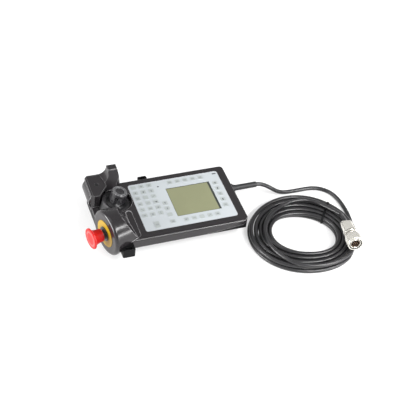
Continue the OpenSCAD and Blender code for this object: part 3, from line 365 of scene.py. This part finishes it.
def lead_route():
    """Free stretch from the gland to the coil."""
    return [GLAND_FOOT + Vector(p) for p in (
        (-9, 0, 35), (8, 0, 35), (24, 0, 35), (40, 0, 35), (56, 0, 35), (64, -0.5, 34),
        (72, -2, 31.5), (80, -4, 27.5), (88, -5.5, 22), (96, -6.5, 16), (104, -7.5, 10.5),
        (113, -8, 6.5), (124, -8.5, 4.6), (139, -9, 4.5), (157, -9, 4.5), (175, -9, 4.5),
        (190, -12, 4.5), (203, -19, 4.5), (213, -29, 4.5), (220, -43, 4.5),
        (223.5, -61, 4.5), (224.5, -81, 4.5), (223.5, -101, 4.5), (220, -122, 4.5),
        (215, -141, 4.5), (208, -156, 4.5))]


def tail_route():
    """End stretch from the top of the coil to the plug."""
    return [GLAND_FOOT + Vector(p) for p in (
        (195, -115, 28), (193.5, -123, 31.5), (191.5, -131, 35), (189.8, -139, 37.8),
        (188.4, -146, 39.3), (187.4, -152.5, 39.7))]


def smoothstep(t):
    t = min(1, max(0, t))
    return t * t * (3 - 2 * t)


def coil_turn(turned, pitch):
    """Radius and height after so many turns of a perfectly round coil.

    The first layer winds inwards, the second outwards, and the third, which is loose,
    inwards and out again.
    """
    layer = (COIL_OUTER - COIL_INNER) / pitch
    middle, top = LAYER_LOW + LAYER_RISE, LAYER_LOW + 2 * LAYER_RISE
    if turned < layer:
        return COIL_OUTER - pitch * turned, LAYER_LOW
    turned -= layer
    if turned < CLIMB_TURNS:
        return COIL_INNER, LAYER_LOW + LAYER_RISE * smoothstep(turned / CLIMB_TURNS)
    turned -= CLIMB_TURNS
    if turned < layer:
        return COIL_INNER + pitch * turned, middle
    turned -= layer
    if turned < CLIMB_TURNS:
        return COIL_OUTER, middle + LAYER_RISE * smoothstep(turned / CLIMB_TURNS)
    turned -= CLIMB_TURNS
    u = turned / (COIL_TURNED / 360 - 2 * layer - 2 * CLIMB_TURNS)
    return COIL_OUTER - TOP_DRIFT * u - TOP_SWING * math.sin(math.pi * u) ** 2, top


def coil_route(pitch):
    """Turns of the coil, pulled from round to the oval in which they lie."""
    points = []
    for angle in range(0, COIL_TURNED + 1, COIL_STEP):
        turned = angle / 360
        r, z = coil_turn(turned, pitch)
        a = math.radians(COIL_START - angle)
        if z < WIDE_BELOW:
            r += (r - COIL_INNER) * WIDE_SPREAD * max(0, -math.cos(a)) ** 2
        near = max(0, -math.cos(a - NARROW_AXIS))
        far = max(0, math.cos(a - NARROW_AXIS))
        r -= (COIL_OUTER - r) * (NARROW_NEAR * near ** 2 + NARROW_FAR * far ** 2)
        r -= NEAR_PULL * near ** 2
        r += SIDE_PUSH * max(0, math.cos(a - NARROW_AXIS + math.pi / 2)) ** 3
        loose = max(0, math.cos(a - NARROW_AXIS - LOOSE_AXIS))
        r -= LOOSE_GAP * loose ** 2 * smoothstep((turned - LOOSE_FROM) / LOOSE_OVER)
        points.append(COIL_CENTRE + Vector((r * math.cos(a), r * math.sin(a), z)))
    return points


# ------------------------------------------------------------------ keypad print

# Heights in millimetres.
SHEET_TOP = 50.0
KEY_TOP = 50.6
WINDOW_TOP = 49.8
PRINT = 0.03               # thickness of a printed layer
KEY = 11                   # side of a key
STEP_X, STEP_Y = 16, 15.6  # from one key to the next
KEY_RIM = 1.2              # by which the printed face of a key is smaller
DARK_FIELDS = ((-35.1, 47.9, 3.4, 3.0), (86, 57.6, 8, 2.6))  # x, y, width, depth
# Dark strips round the display window: a thin border at the left and front, widened at the
# right and back into painted shade from the window's edge.
BORDER_AND_SHADE = ((-22.3, -38.8, -21.7, 38.8), (-21.7, -38.8, 64.1, -38.2),  # two corners each
          (64.1, -38.8, 68.3, 38.8), (-21.7, 37.4, 64.1, 38.8))


def key_list():
    """Centre, size and sign of every key: x, y, width, depth, sign, turn, strong."""
    keys = []
    signs = (("ring", 0), ("plus", 0), ("bars", 90), ("arrow", 90), ("cross", 0),
             ("arrow", 270), ("bars", 0), ("ring", 0), ("steps", 0), ("arrow", 180),
             ("dots", 0), ("arrow", 0), ("steps", 90), ("bars", 0), ("plus", 0),
             ("cross", 45), ("bars", 90), ("dots", 90))
    for i in range(3):
        for j in range(6):
            sign, turn = signs[3 * j + i]
            keys.append((-83.6 + STEP_X * i, 55.4 - STEP_Y * j, KEY, KEY, sign, turn,
                         (i, j) in ((2, 3), (1, 1))))
    for n, y in enumerate((1.0, -14.0, -31.0, -49.9)):
        keys.append((-35.6, y, KEY, KEY, ("arrow", "arrow", "ring", "bars")[n],
                     (90, 270, 0, 0)[n], False))
    for i in range(-2, 3):
        x = 23 + STEP_X * i
        keys.append((x, 53.5, KEY, KEY, "bars", 0, False))
        keys.append((x, -51, KEY, KEY, ("arrow", "dots", "ring", "steps", "arrow")[i + 2],
                     (180, 0, 0, 0, 0)[i + 2], False))
    for j in range(-2, 3):
        keys.append((79, STEP_Y * j, KEY, KEY,
                     ("bars", "arrow", "bars", "arrow", "plus")[j + 2],
                     (0, 270, 90, 90, 0)[j + 2], j in (-1, 1, 2)))
    keys.append((-67.6, -51, KEY, 18, "bars", 0, False))
    return keys


KEYS = key_list()


def rounded_plate(bm, x, y, z, w, d, h, corner):
    """Thin plate with round corners, its foot at height z (millimetres)."""
    piece = bmesh.new()
    place = Matrix.Translation(from_keypad(x, y, z + h / 2))
    bmesh.ops.create_cube(piece, size=1, matrix=place @ Matrix.Diagonal(
        (w * MM, d * MM, h * MM, 1)))
    upright = [e for e in piece.edges
               if abs(e.verts[0].co.z - e.verts[1].co.z) > 0.5 * h * MM]
    bmesh.ops.bevel(piece, geom=upright, offset=corner * MM, offset_type="OFFSET",
                    affect="EDGES", segments=4, profile=0.5, material=-1)
    take_over(bm, piece)


def take_over(bm, piece):
    """Adds a finished small bmesh to a larger one."""
    mesh = bpy.data.meshes.new("part")
    piece.to_mesh(mesh)
    piece.free()
    bm.from_mesh(mesh)
    bpy.data.meshes.remove(mesh)


def key_sign(bm, sign, turn, x, y, z):
    """Small abstract sign on a key, drawn from bars, dots, rings and triangles."""
    piece = bmesh.new()
    bars = {
        "plus": ((0, 0, 5, 1.1), (0, 0, 1.1, 5)),
        "cross": ((0, 0, 4.6, 0.9), (0, 1.6, 1.4, 1.4), (0, -1.6, 1.4, 1.4)),
        "bars": ((0, 1.1, 5.6, 1.0), (0, -1.1, 5.6, 1.0)),
        "steps": ((-1.8, -1.4, 1.4, 1.4), (0, 0, 1.4, 1.4), (1.8, 1.4, 1.4, 1.4)),
        "dots": ((-2, 0, 1.3, 1.3), (0, 0, 1.3, 1.3), (2, 0, 1.3, 1.3)),
        "arrow": ((-1.6, 0, 2.4, 1.2),),
        "ring": (),
    }[sign]
    for cx, cy, w, d in bars:
        bmesh.ops.create_grid(piece, x_segments=1, y_segments=1, size=0.5,
                              matrix=Matrix.Translation((cx, cy, 0)) @ Matrix.Diagonal(
                                  (w, d, 1, 1)))
    if sign == "arrow":
        bmesh.ops.create_circle(piece, cap_ends=True, segments=3, radius=2.3,
                                matrix=Matrix.Translation((1, 0, 0)) @ Matrix.Rotation(
                                    math.radians(-90), 4, "Z"))
    if sign == "ring":
        bmesh.ops.create_circle(piece, cap_ends=True, segments=24, radius=2.3)
        bmesh.ops.inset_region(piece, faces=piece.faces[:], thickness=0.8)
        bmesh.ops.delete(piece, geom=[max(piece.faces, key=lambda f: len(f.verts))],
                         context="FACES")
    grown = bmesh.ops.extrude_face_region(piece, geom=piece.faces[:])
    bmesh.ops.translate(piece, vec=(0, 0, PRINT), verts=[
        v for v in grown["geom"] if isinstance(v, bmesh.types.BMVert)])
    at = Matrix.Translation(from_keypad(x, y, z)) @ Matrix.Rotation(
        math.radians(turn), 4, "Z") @ Matrix.Scale(MM, 4)
    bmesh.ops.transform(piece, matrix=at, verts=piece.verts)
    take_over(bm, piece)


# ------------------------------------------------------------------ turned trim

def joint_frame(joint):
    """Matrix of a joint: its axis is Z, its pivot the origin, in metres."""
    info = JOINTS[joint]
    turn = Vector(info["axis"]).to_track_quat("Z", "Y").to_matrix().to_4x4()
    return Matrix.Translation(Vector(info["pos_m"])) @ turn


RING_STEPS = 48


def turned_ring(bm, frame_matrix, profile):
    """Adds a ring turned round the frame's Z from a closed profile of (radius, height)."""
    piece = bmesh.new()
    verts = [piece.verts.new((r * MM, 0, z * MM)) for r, z in profile]
    edges = [piece.edges.new((a, b)) for a, b in zip(verts, verts[1:] + verts[:1])]
    bmesh.ops.spin(piece, geom=verts + edges, cent=(0, 0, 0), axis=(0, 0, 1),
                   angle=2 * math.pi, steps=RING_STEPS, use_merge=True)
    bmesh.ops.remove_doubles(piece, verts=piece.verts, dist=1e-6)
    bmesh.ops.recalc_face_normals(piece, faces=piece.faces)
    bmesh.ops.transform(piece, matrix=frame_matrix, verts=piece.verts)
    take_over(bm, piece)


def bead(r, z, w, h):
    """Profile of a ring with softened upper edges, in millimetres."""
    c = min(w, h) * 0.3
    return [(r, z), (r + w, z), (r + w, z + h - c), (r + w - c, z + h), (r + c, z + h),
            (r, z + h - c)]


# ------------------------------------------------------------------ operators

class PENDANT_OT_case(bpy.types.Operator):
    """Finishes the shells, the grip block and the strap clips"""
    bl_idname = "pendant.case"
    bl_label = "Case"

    def execute(self, context):
        s = context.scene.pendant_case
        # Both mouldings get a painted highlight in a lighter colour along their edges.
        dress(finish("charcoal_moulding", s.shell, rough=0.23, grain=s.grain, bump=0.10,
                     edge=0.0012, edge_highlight_colour=(0.42, 0.41, 0.42)),
              "top_shell", "enabling_lever")
        dress(finish("grip_moulding", s.shell, rough=0.23, grain=s.grain, bump=0.10,
                     edge=0.0009, edge_highlight_colour=(0.11, 0.108, 0.11)),
              "grip_housing", "grip_cover")
        dress(finish("black_moulding", s.base, rough=0.4, grain=s.grain, bump=0.15,
                     spec=0.12, edge=0.0007),
              "bottom_shell", "strap_clip_front", "strap_clip_rear")
        zinc = finish("zinc_screw", (0.45, 0.45, 0.46), rough=0.35, metal=1.0, bump=0.05)
        dress(zinc, "shell_screws", "grip_bolts", "clamp_screws", "lever_pin",
              "lever_spring", "stop_locknut")
        dress(finish("blackened_screw", (0.05, 0.05, 0.052), rough=0.35, metal=0.8,
                     bump=0.05), "cover_screw")
        return {"FINISHED"}


class PENDANT_OT_inside(bpy.types.Operator):
    """Finishes the boards and the parts inside the case"""
    bl_idname = "pendant.inside"
    bl_label = "Inside"

    def execute(self, context):
        dress(finish("board_green", (0.012, 0.10, 0.035), rough=0.35, grain=0.0015, bump=0.1),
              "keypad_board", "main_board", "sensor_board")
        dress(finish("spring_steel", (0.6, 0.6, 0.62), rough=0.3, metal=1.0, bump=0.05),
              "snap_domes", "joystick_gimbal", "joystick_stem")
        dress(finish("brass_post", (0.62, 0.45, 0.18), rough=0.35, metal=1.0, bump=0.05),
              "board_standoffs")
        dress(finish("contact_plate", (0.34, 0.22, 0.15), rough=0.35, metal=1.0, bump=0.05),
              "connector_pins")
        dress(finish("inner_black", (0.02, 0.02, 0.021), rough=0.5),
              "display_frame", "joystick_cup", "stop_bush", "stop_contact_block",
              "enabling_switch", "gland_nut", "centring_ring")
        dress(finish("plunger_white", (0.7, 0.7, 0.67), rough=0.45), "stop_plunger")
        return {"FINISHED"}


class PENDANT_OT_keypad(bpy.types.Operator):
    """Finishes the keypad film and the display"""
    bl_idname = "pendant.keypad"
    bl_label = "Keypad and display"

    def execute(self, context):
        s = context.scene.pendant_keypad
        dress(finish("keypad_film", s.film, rough=0.4, grain=0.0004, bump=0.05, vary=0.02,
                     scuff=0.05, edge=0.0003), "keypad_sheet")
        dress(finish("display_glass", s.display, rough=0.2, grain=0.0004, bump=0.02,
                     vary=0.06, scuff=0.0, coat=0.3), "lcd_module", "display_window")
        faces = bmesh.new()
        for x, y, w, d, *_ in KEYS:
            rounded_plate(faces, x, y, KEY_TOP, w - KEY_RIM, d - KEY_RIM, PRINT, 1.6)
        pads = to_object("key_faces", faces, finish(
            "key_face_print", s.key, rough=0.38, grain=0.0004, bump=0.05, vary=0.03,
            scuff=0.05))
        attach(pads, "case")
        for name, ink, dark in (("key_marks", s.mark, False),
                                ("key_marks_dark", s.strong, True)):
            bm = bmesh.new()
            for x, y, _, _, sign, turn, strong in KEYS:
                if strong is dark:
                    key_sign(bm, sign, turn, x, y, KEY_TOP + PRINT)
            if dark:
                for x, y, w, d in DARK_FIELDS:
                    rounded_plate(bm, x, y, SHEET_TOP, w, d, 0.04, 0.6)
            print_layer = to_object(name, bm, finish(
                name + "_ink", ink, rough=0.45, grain=0.0003, bump=0.03, vary=0.08,
                scuff=0.0))
            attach(print_layer, "case")
        # Thin dark border round the display, widened at the right and back as painted shade.
        border_and_shade_mesh = bmesh.new()
        for x0, y0, x1, y1 in BORDER_AND_SHADE:
            rounded_plate(border_and_shade_mesh, (x0 + x1) / 2, (y0 + y1) / 2, WINDOW_TOP, x1 - x0, y1 - y0,
                          PRINT, 0.1)
        border_and_shade = to_object("display_border_and_shade", border_and_shade_mesh, finish(
            "display_border_and_shade_print", s.border_and_shade, rough=0.3, grain=0.0004, bump=0.02, vary=0.05,
            scuff=0.0))
        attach(border_and_shade, "case")
        return {"FINISHED"}


class PENDANT_OT_controls(bpy.types.Operator):
    """Finishes the stop button and the joystick"""
    bl_idname = "pendant.controls"
    bl_label = "Stop button and joystick"

    def execute(self, context):
        s = context.scene.pendant_controls
        # The stop head's edges get a painted highlight in light red.
        dress(finish("stop_red", s.stop, rough=0.3, grain=0.0005, bump=0.04, vary=0.03,
                     scuff=0.1, spec=0.2, edge=0.0012, edge_highlight_colour=(0.85, 0.2, 0.2)),
              "stop_mushroom")
        dress(finish("label_yellow", s.label, rough=0.4, grain=0.0005, bump=0.05, vary=0.04),
              "stop_label_disc")
        # The joystick's edges get a painted highlight in a lighter grey.
        dress(finish("joystick_plastic", s.stick, rough=0.27, grain=0.0005, bump=0.05,
                     edge=0.0011, edge_highlight_colour=(0.13, 0.13, 0.135)),
              "joystick_knob", "joystick_cap", "joystick_bezel", "stop_collar")
        dress(finish("boot_rubber", (0.006, 0.006, 0.007), rough=0.38, grain=0.0008,
                     bump=0.2), "joystick_boot")
        return {"FINISHED"}


class PENDANT_OT_cable(bpy.types.Operator):
    """Lays the cable from the gland through its coil to the plug"""
    bl_idname = "pendant.cable"
    bl_label = "Cable"

    def execute(self, context):
        s = context.scene.pendant_cable
        route = lead_route() + coil_route(s.pitch / MM)[1:] + tail_route()
        points = [from_keypad(p.x, p.y, p.z) for p in route]
        curve = bpy.data.curves.new("cable", "CURVE")
        curve.dimensions = "3D"
        curve.bevel_depth = s.diameter / 2
        curve.bevel_resolution = 4
        curve.resolution_u = 4
        curve.use_fill_caps = True
        spline = curve.splines.new("NURBS")
        spline.points.add(len(points) - 1)
        for p, co in zip(spline.points, points):
            p.co = (*co, 1)
        spline.order_u = 3
        spline.use_endpoint_u = True
        cable = bpy.data.objects.new("cable", curve)
        context.scene.collection.objects.link(cable)
        jacket = finish("cable_jacket", s.jacket, rough=0.3, grain=0.002, bump=0.01, scuff=0.1,
                        spec=0.6)
        curve.materials.append(jacket)
        dress(jacket, "cable_lead", "cable_coil", "cable_tail")
        dress(finish("cable_black", (0.014, 0.014, 0.015), rough=0.55, bump=0.3),
              "bend_sleeve", "cable_gland")
        dress(finish("insert_black", (0.006, 0.006, 0.006), rough=0.5, bump=0.1, spec=0.2),
              "connector_insert")
        # The plug's plated edges get a painted highlight in near white.
        dress(finish("nickel_plate", s.nickel, rough=0.24, metal=0.75, grain=0.0005,
                     bump=0.08, edge=0.0004, edge_highlight_colour=(0.95, 0.94, 0.88)),
              "connector_backshell", "connector_clamp", "connector_barrel",
              "coupling_ring")
        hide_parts("cable_lead", "cable_coil", "cable_tail")
        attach(cable, "case")
        return {"FINISHED"}


class PENDANT_OT_trim(bpy.types.Operator):
    """Adds the turned rings of the plug, the joystick's cap and the stop button"""
    bl_idname = "pendant.trim"
    bl_label = "Turned trim"

    def ring_piece(self, name, joint, body, beads, material):
        """One piece of rings: inner radius, foot above the pivot, width and height."""
        bm = bmesh.new()
        for r, z, w, h in beads:
            turned_ring(bm, joint_frame(joint), bead(r, z, w, h))
        piece = to_object(name, bm, material)
        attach(piece, body)

    def execute(self, context):
        nickel = context.scene.pendant_cable.nickel
        bright = finish("plug_sleeve", nickel, rough=0.22, metal=1.0, grain=0.0005,
                        bump=0.05)
        dark = finish("seal_rubber", (0.008, 0.008, 0.008), rough=0.5, bump=0.1, spec=0.25)
        self.ring_piece("plug_sleeve_ring", "coupling_ring_turn", "case",
                        [(9.3, 49.0, 1.7, 6.3)], bright)
        self.ring_piece("plug_seal", "coupling_ring_turn", "case",
                        [(11.5, 55.05, 1.35, 1.0)], dark)
        self.ring_piece("plug_grooves", "coupling_ring_turn", "case",
                        [(13.21, 23.4, 0.06, 1.3), (13.01, 29.2, 0.06, 0.9)], dark)
        controls = context.scene.pendant_controls
        # Raised ring on the stop head's face; its light pink is a painted highlight.
        self.ring_piece("stop_face_ring", "stop_twist", "stop_button",
                        [(12.55, 30.5, 2.4, 0.42)],
                        finish("stop_ring_highlight", controls.ring, rough=0.3, bump=0.04,
                               spec=0.25))
        pivot = joint_frame("joystick_twist").inverted()
        knob = frame["nodes"]["joystick_knob"].data
        top = max((pivot @ v.co).z for v in knob.vertices) / MM
        # Raised rings on the knob's cap, lightened as a painted highlight, with painted edge
        # highlights as well.
        self.ring_piece("knob_rings", "joystick_twist", "joystick_knob",
                        [(9.5, top - 0.05, 1.5, 0.8), (13.2, top - 0.05, 1.2, 0.5),
                         (6.4, top - 0.6, 1.0, 1.1)],
                        finish("knob_ring_highlight", controls.gloss, rough=0.2, bump=0.02,
                               spec=0.7, edge=0.0008, edge_highlight_colour=(0.3, 0.3, 0.31)))
        self.ring_piece("plug_beads", "coupling_ring_turn", "case",
                        [(13.02, 27.2, 0.7, 1.3), (13.02, 31.4, 0.7, 1.8)], bright)
        return {"FINISHED"}


class PENDANT_OT_tie(bpy.types.Operator):
    """Wraps the tie snugly round the coil's turns"""
    bl_idname = "pendant.tie"
    bl_label = "Tie"

    def belt(self, cuts, across, radius):
        """Tight open belt, a tie's width wide, round the turns that pass the cuts."""
        turn = across.to_track_quat("Z", "Y").to_matrix().to_4x4()
        bm = bmesh.new()
        for cut in cuts:
            bmesh.ops.create_cone(
                bm, cap_ends=True, segments=20, radius1=radius, radius2=radius,
                depth=TIE_WIDTH, matrix=Matrix.Translation(cut) @ turn)
        hull = bmesh.ops.convex_hull(bm, input=bm.verts)
        gone = {v for v in hull["geom_interior"] + hull["geom_unused"]
                if isinstance(v, bmesh.types.BMVert)}
        bmesh.ops.delete(bm, geom=list(gone), context="VERTS")
        kept = {f for f in hull["geom"] if isinstance(f, bmesh.types.BMFace)}
        bmesh.ops.delete(bm, geom=[f for f in bm.faces if f not in kept],
                         context="FACES_ONLY")
        bm.normal_update()
        caps = [f for f in bm.faces if abs(f.normal.dot(across)) > 0.9]
        bmesh.ops.delete(bm, geom=caps, context="FACES")
        bmesh.ops.remove_doubles(bm, verts=bm.verts, dist=0.05)
        bmesh.ops.dissolve_degenerate(bm, dist=0.02, edges=bm.edges)
        return bm

    def thicken(self, bm, across):
        """Gives the belt its thickness outwards, and keeps it above the floor."""
        grown = bmesh.ops.extrude_face_region(bm, geom=bm.faces[:])
        middle = sum((v.co for v in bm.verts), Vector()) / len(bm.verts)
        bm.normal_update()
        for v in grown["geom"]:
            if isinstance(v, bmesh.types.BMVert):
                out = v.normal - across * v.normal.dot(across)
                if out.length > 0.1:
                    out.normalize()
                    v.co += out * math.copysign(TIE_THICK, out.dot(v.co - middle))
        for v in bm.verts:
            v.co.z = max(v.co.z, FLOOR_GAP)

    def execute(self, context):
        s = context.scene.pendant_cable
        place = math.radians(TIE_AT)
        angle = math.radians(TIE_AT + TIE_SKEW)
        spot = COIL_CENTRE + Vector((math.cos(place), math.sin(place), 0)) * (
            COIL_INNER + COIL_OUTER) / 2
        across = Vector((-math.sin(angle), math.cos(angle), 0))
        points = [p - spot for p in coil_route(s.pitch / MM)]
        cuts = []
        for p, q in zip(points, points[1:]):
            a, b = p.dot(across), q.dot(across)
            if a * b <= 0 and p.length < TIE_REACH:
                cuts.append(p.lerp(q, a / (a - b)) if a != b else p)
        bm = self.belt(cuts, across, s.diameter / MM / 2 + TIE_SLACK)
        self.thicken(bm, across)
        bmesh.ops.transform(bm, matrix=Matrix.Translation(
            from_keypad(spot.x, spot.y, 0)) @ Matrix.Scale(MM, 4), verts=bm.verts)
        tie = to_object("tie_band", bm, finish("tie_black", (0.003, 0.003, 0.0035),
                                               rough=0.5, bump=0.2, spec=0.2))
        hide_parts("cable_ties")
        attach(tie, "case")
        return {"FINISHED"}


FLOOR_HALF = 18            # metres from the middle of the floor to its edge
SUN_ANGLE = math.radians(40)
SENSOR = 36                # millimetres
# The camera's place, in millimetres from the keypad centre, and its two directions.
EYE_AT = (-574.5, -1325.2, 1463.7)
EYE_AHEAD = (0.30770, 0.64058, -0.70354)
EYE_UP = (0.17064, 0.69028, 0.70313)


class PENDANT_OT_stage(bpy.types.Operator):
    """Sets the floor, the lamps and the camera"""
    bl_idname = "pendant.stage"
    bl_label = "Stage"

    def hang(self, scene, name, lamp, at):
        """Places a lamp and points it at the origin."""
        obj = bpy.data.objects.new(name, lamp)
        obj.location = at
        obj.rotation_euler = (-Vector(at)).to_track_quat("-Z", "Y").to_euler()
        scene.collection.objects.link(obj)

    def execute(self, context):
        s = context.scene.pendant_stage
        scene = context.scene
        scene.view_settings.view_transform = "Standard"
        bm = bmesh.new()
        bmesh.ops.create_grid(bm, x_segments=2, y_segments=2, size=FLOOR_HALF)
        mat = bpy.data.materials.new("studio_floor")
        mat.use_nodes = True
        nodes, links = mat.node_tree.nodes, mat.node_tree.links
        bsdf = nodes["Principled BSDF"]
        bsdf.inputs["Base Color"].default_value = s.floor
        bsdf.inputs["Roughness"].default_value = 0.9
        bsdf.inputs["Specular IOR Level"].default_value = 0.1
        rays = nodes.new("ShaderNodeLightPath")
        seen = rays.outputs["Is Camera Ray"]
        for kind in ("Is Glossy Ray", "Is Transmission Ray"):
            either = nodes.new("ShaderNodeMath")
            either.operation = "MAXIMUM"
            links.new(seen, either.inputs[0])
            links.new(rays.outputs[kind], either.inputs[1])
            seen = either.outputs[0]
        glow = nodes.new("ShaderNodeMath")
        glow.operation = "MULTIPLY"
        glow.inputs[1].default_value = s.glow
        links.new(seen, glow.inputs[0])
        bsdf.inputs["Emission Color"].default_value = (1, 1, 1, 1)
        links.new(glow.outputs[0], bsdf.inputs["Emission Strength"])
        floor = to_object("studio_floor", bm, mat)
        world = bpy.data.worlds.new("studio_world")
        world.use_nodes = True
        scene.world = world
        background = world.node_tree.nodes["Background"]
        background.inputs["Color"].default_value = (1, 1, 1, 1)
        background.inputs["Strength"].default_value = s.sky
        sun = bpy.data.lights.new("lamp_sun", "SUN")
        sun.energy = s.sun
        sun.angle = SUN_ANGLE
        self.hang(scene, "lamp_sun", sun, (-0.9, 0.5, 2.2))
        for name, power, size, at in (
                ("lamp_side", s.side, (1.7, 0.6), (-1.7, 0.1, 0.38)),
                ("lamp_front", s.front, (1.4, 0.3), (1.35, -1.5, 0.35)),
                ("lamp_strip_front", s.strip, (1.0, 0.22), (0.62, -0.84, 1.02))):
            lamp = bpy.data.lights.new(name, "AREA")
            lamp.energy = power
            lamp.shape = "RECTANGLE"
            lamp.size, lamp.size_y = size
            self.hang(scene, name, lamp, at)
        camera = bpy.data.cameras.new("camera")
        camera.lens = s.lens
        camera.sensor_width = SENSOR
        camera.clip_end = 50
        eye = bpy.data.objects.new("camera", camera)
        scene.collection.objects.link(eye)
        ahead = Vector(EYE_AHEAD).normalized()
        right = ahead.cross(Vector(EYE_UP).normalized()).normalized()
        up = right.cross(ahead)
        turn = Matrix((right, up, -ahead)).transposed().to_4x4()
        eye.matrix_world = Matrix.Translation(from_keypad(*EYE_AT)) @ turn
        scene.camera = eye
        return {"FINISHED"}


OPERATORS = (PENDANT_OT_stage, PENDANT_OT_case, PENDANT_OT_inside, PENDANT_OT_keypad,
             PENDANT_OT_controls, PENDANT_OT_trim, PENDANT_OT_tie, PENDANT_OT_cable)
SETTINGS = (
    ("pendant_case", PendantCaseSettings), ("pendant_keypad", PendantKeypadSettings),
    ("pendant_controls", PendantControlSettings), ("pendant_cable", PendantCableSettings),
    ("pendant_stage", PendantStageSettings))


class PENDANT_PT_panel(bpy.types.Panel):
    """Lists the settings and the steps that dress the pendant"""
    bl_label = "Teach Pendant"
    bl_idname = "PENDANT_PT_panel"
    bl_space_type = "VIEW_3D"
    bl_region_type = "UI"
    bl_category = "Pendant"

    def draw(self, context):
        for name, kind in SETTINGS:
            box = self.layout.box()
            for key in kind.__annotations__:
                box.prop(getattr(context.scene, name), key)
        for op in OPERATORS:
            self.layout.operator(op.bl_idname)


def register():
    for name, kind in SETTINGS:
        bpy.utils.register_class(kind)
        setattr(bpy.types.Scene, name, bpy.props.PointerProperty(type=kind))
    for kind in OPERATORS + (PENDANT_PT_panel,):
        bpy.utils.register_class(kind)


def unregister():
    for kind in reversed(OPERATORS + (PENDANT_PT_panel,)):
        bpy.utils.unregister_class(kind)
    for name, kind in reversed(SETTINGS):
        delattr(bpy.types.Scene, name)
        bpy.utils.unregister_class(kind)


def main():
    register()
    for op in OPERATORS:
        area, name = op.bl_idname.split(".")
        getattr(getattr(bpy.ops, area), name)()


if __name__ == "__main__":
    main()
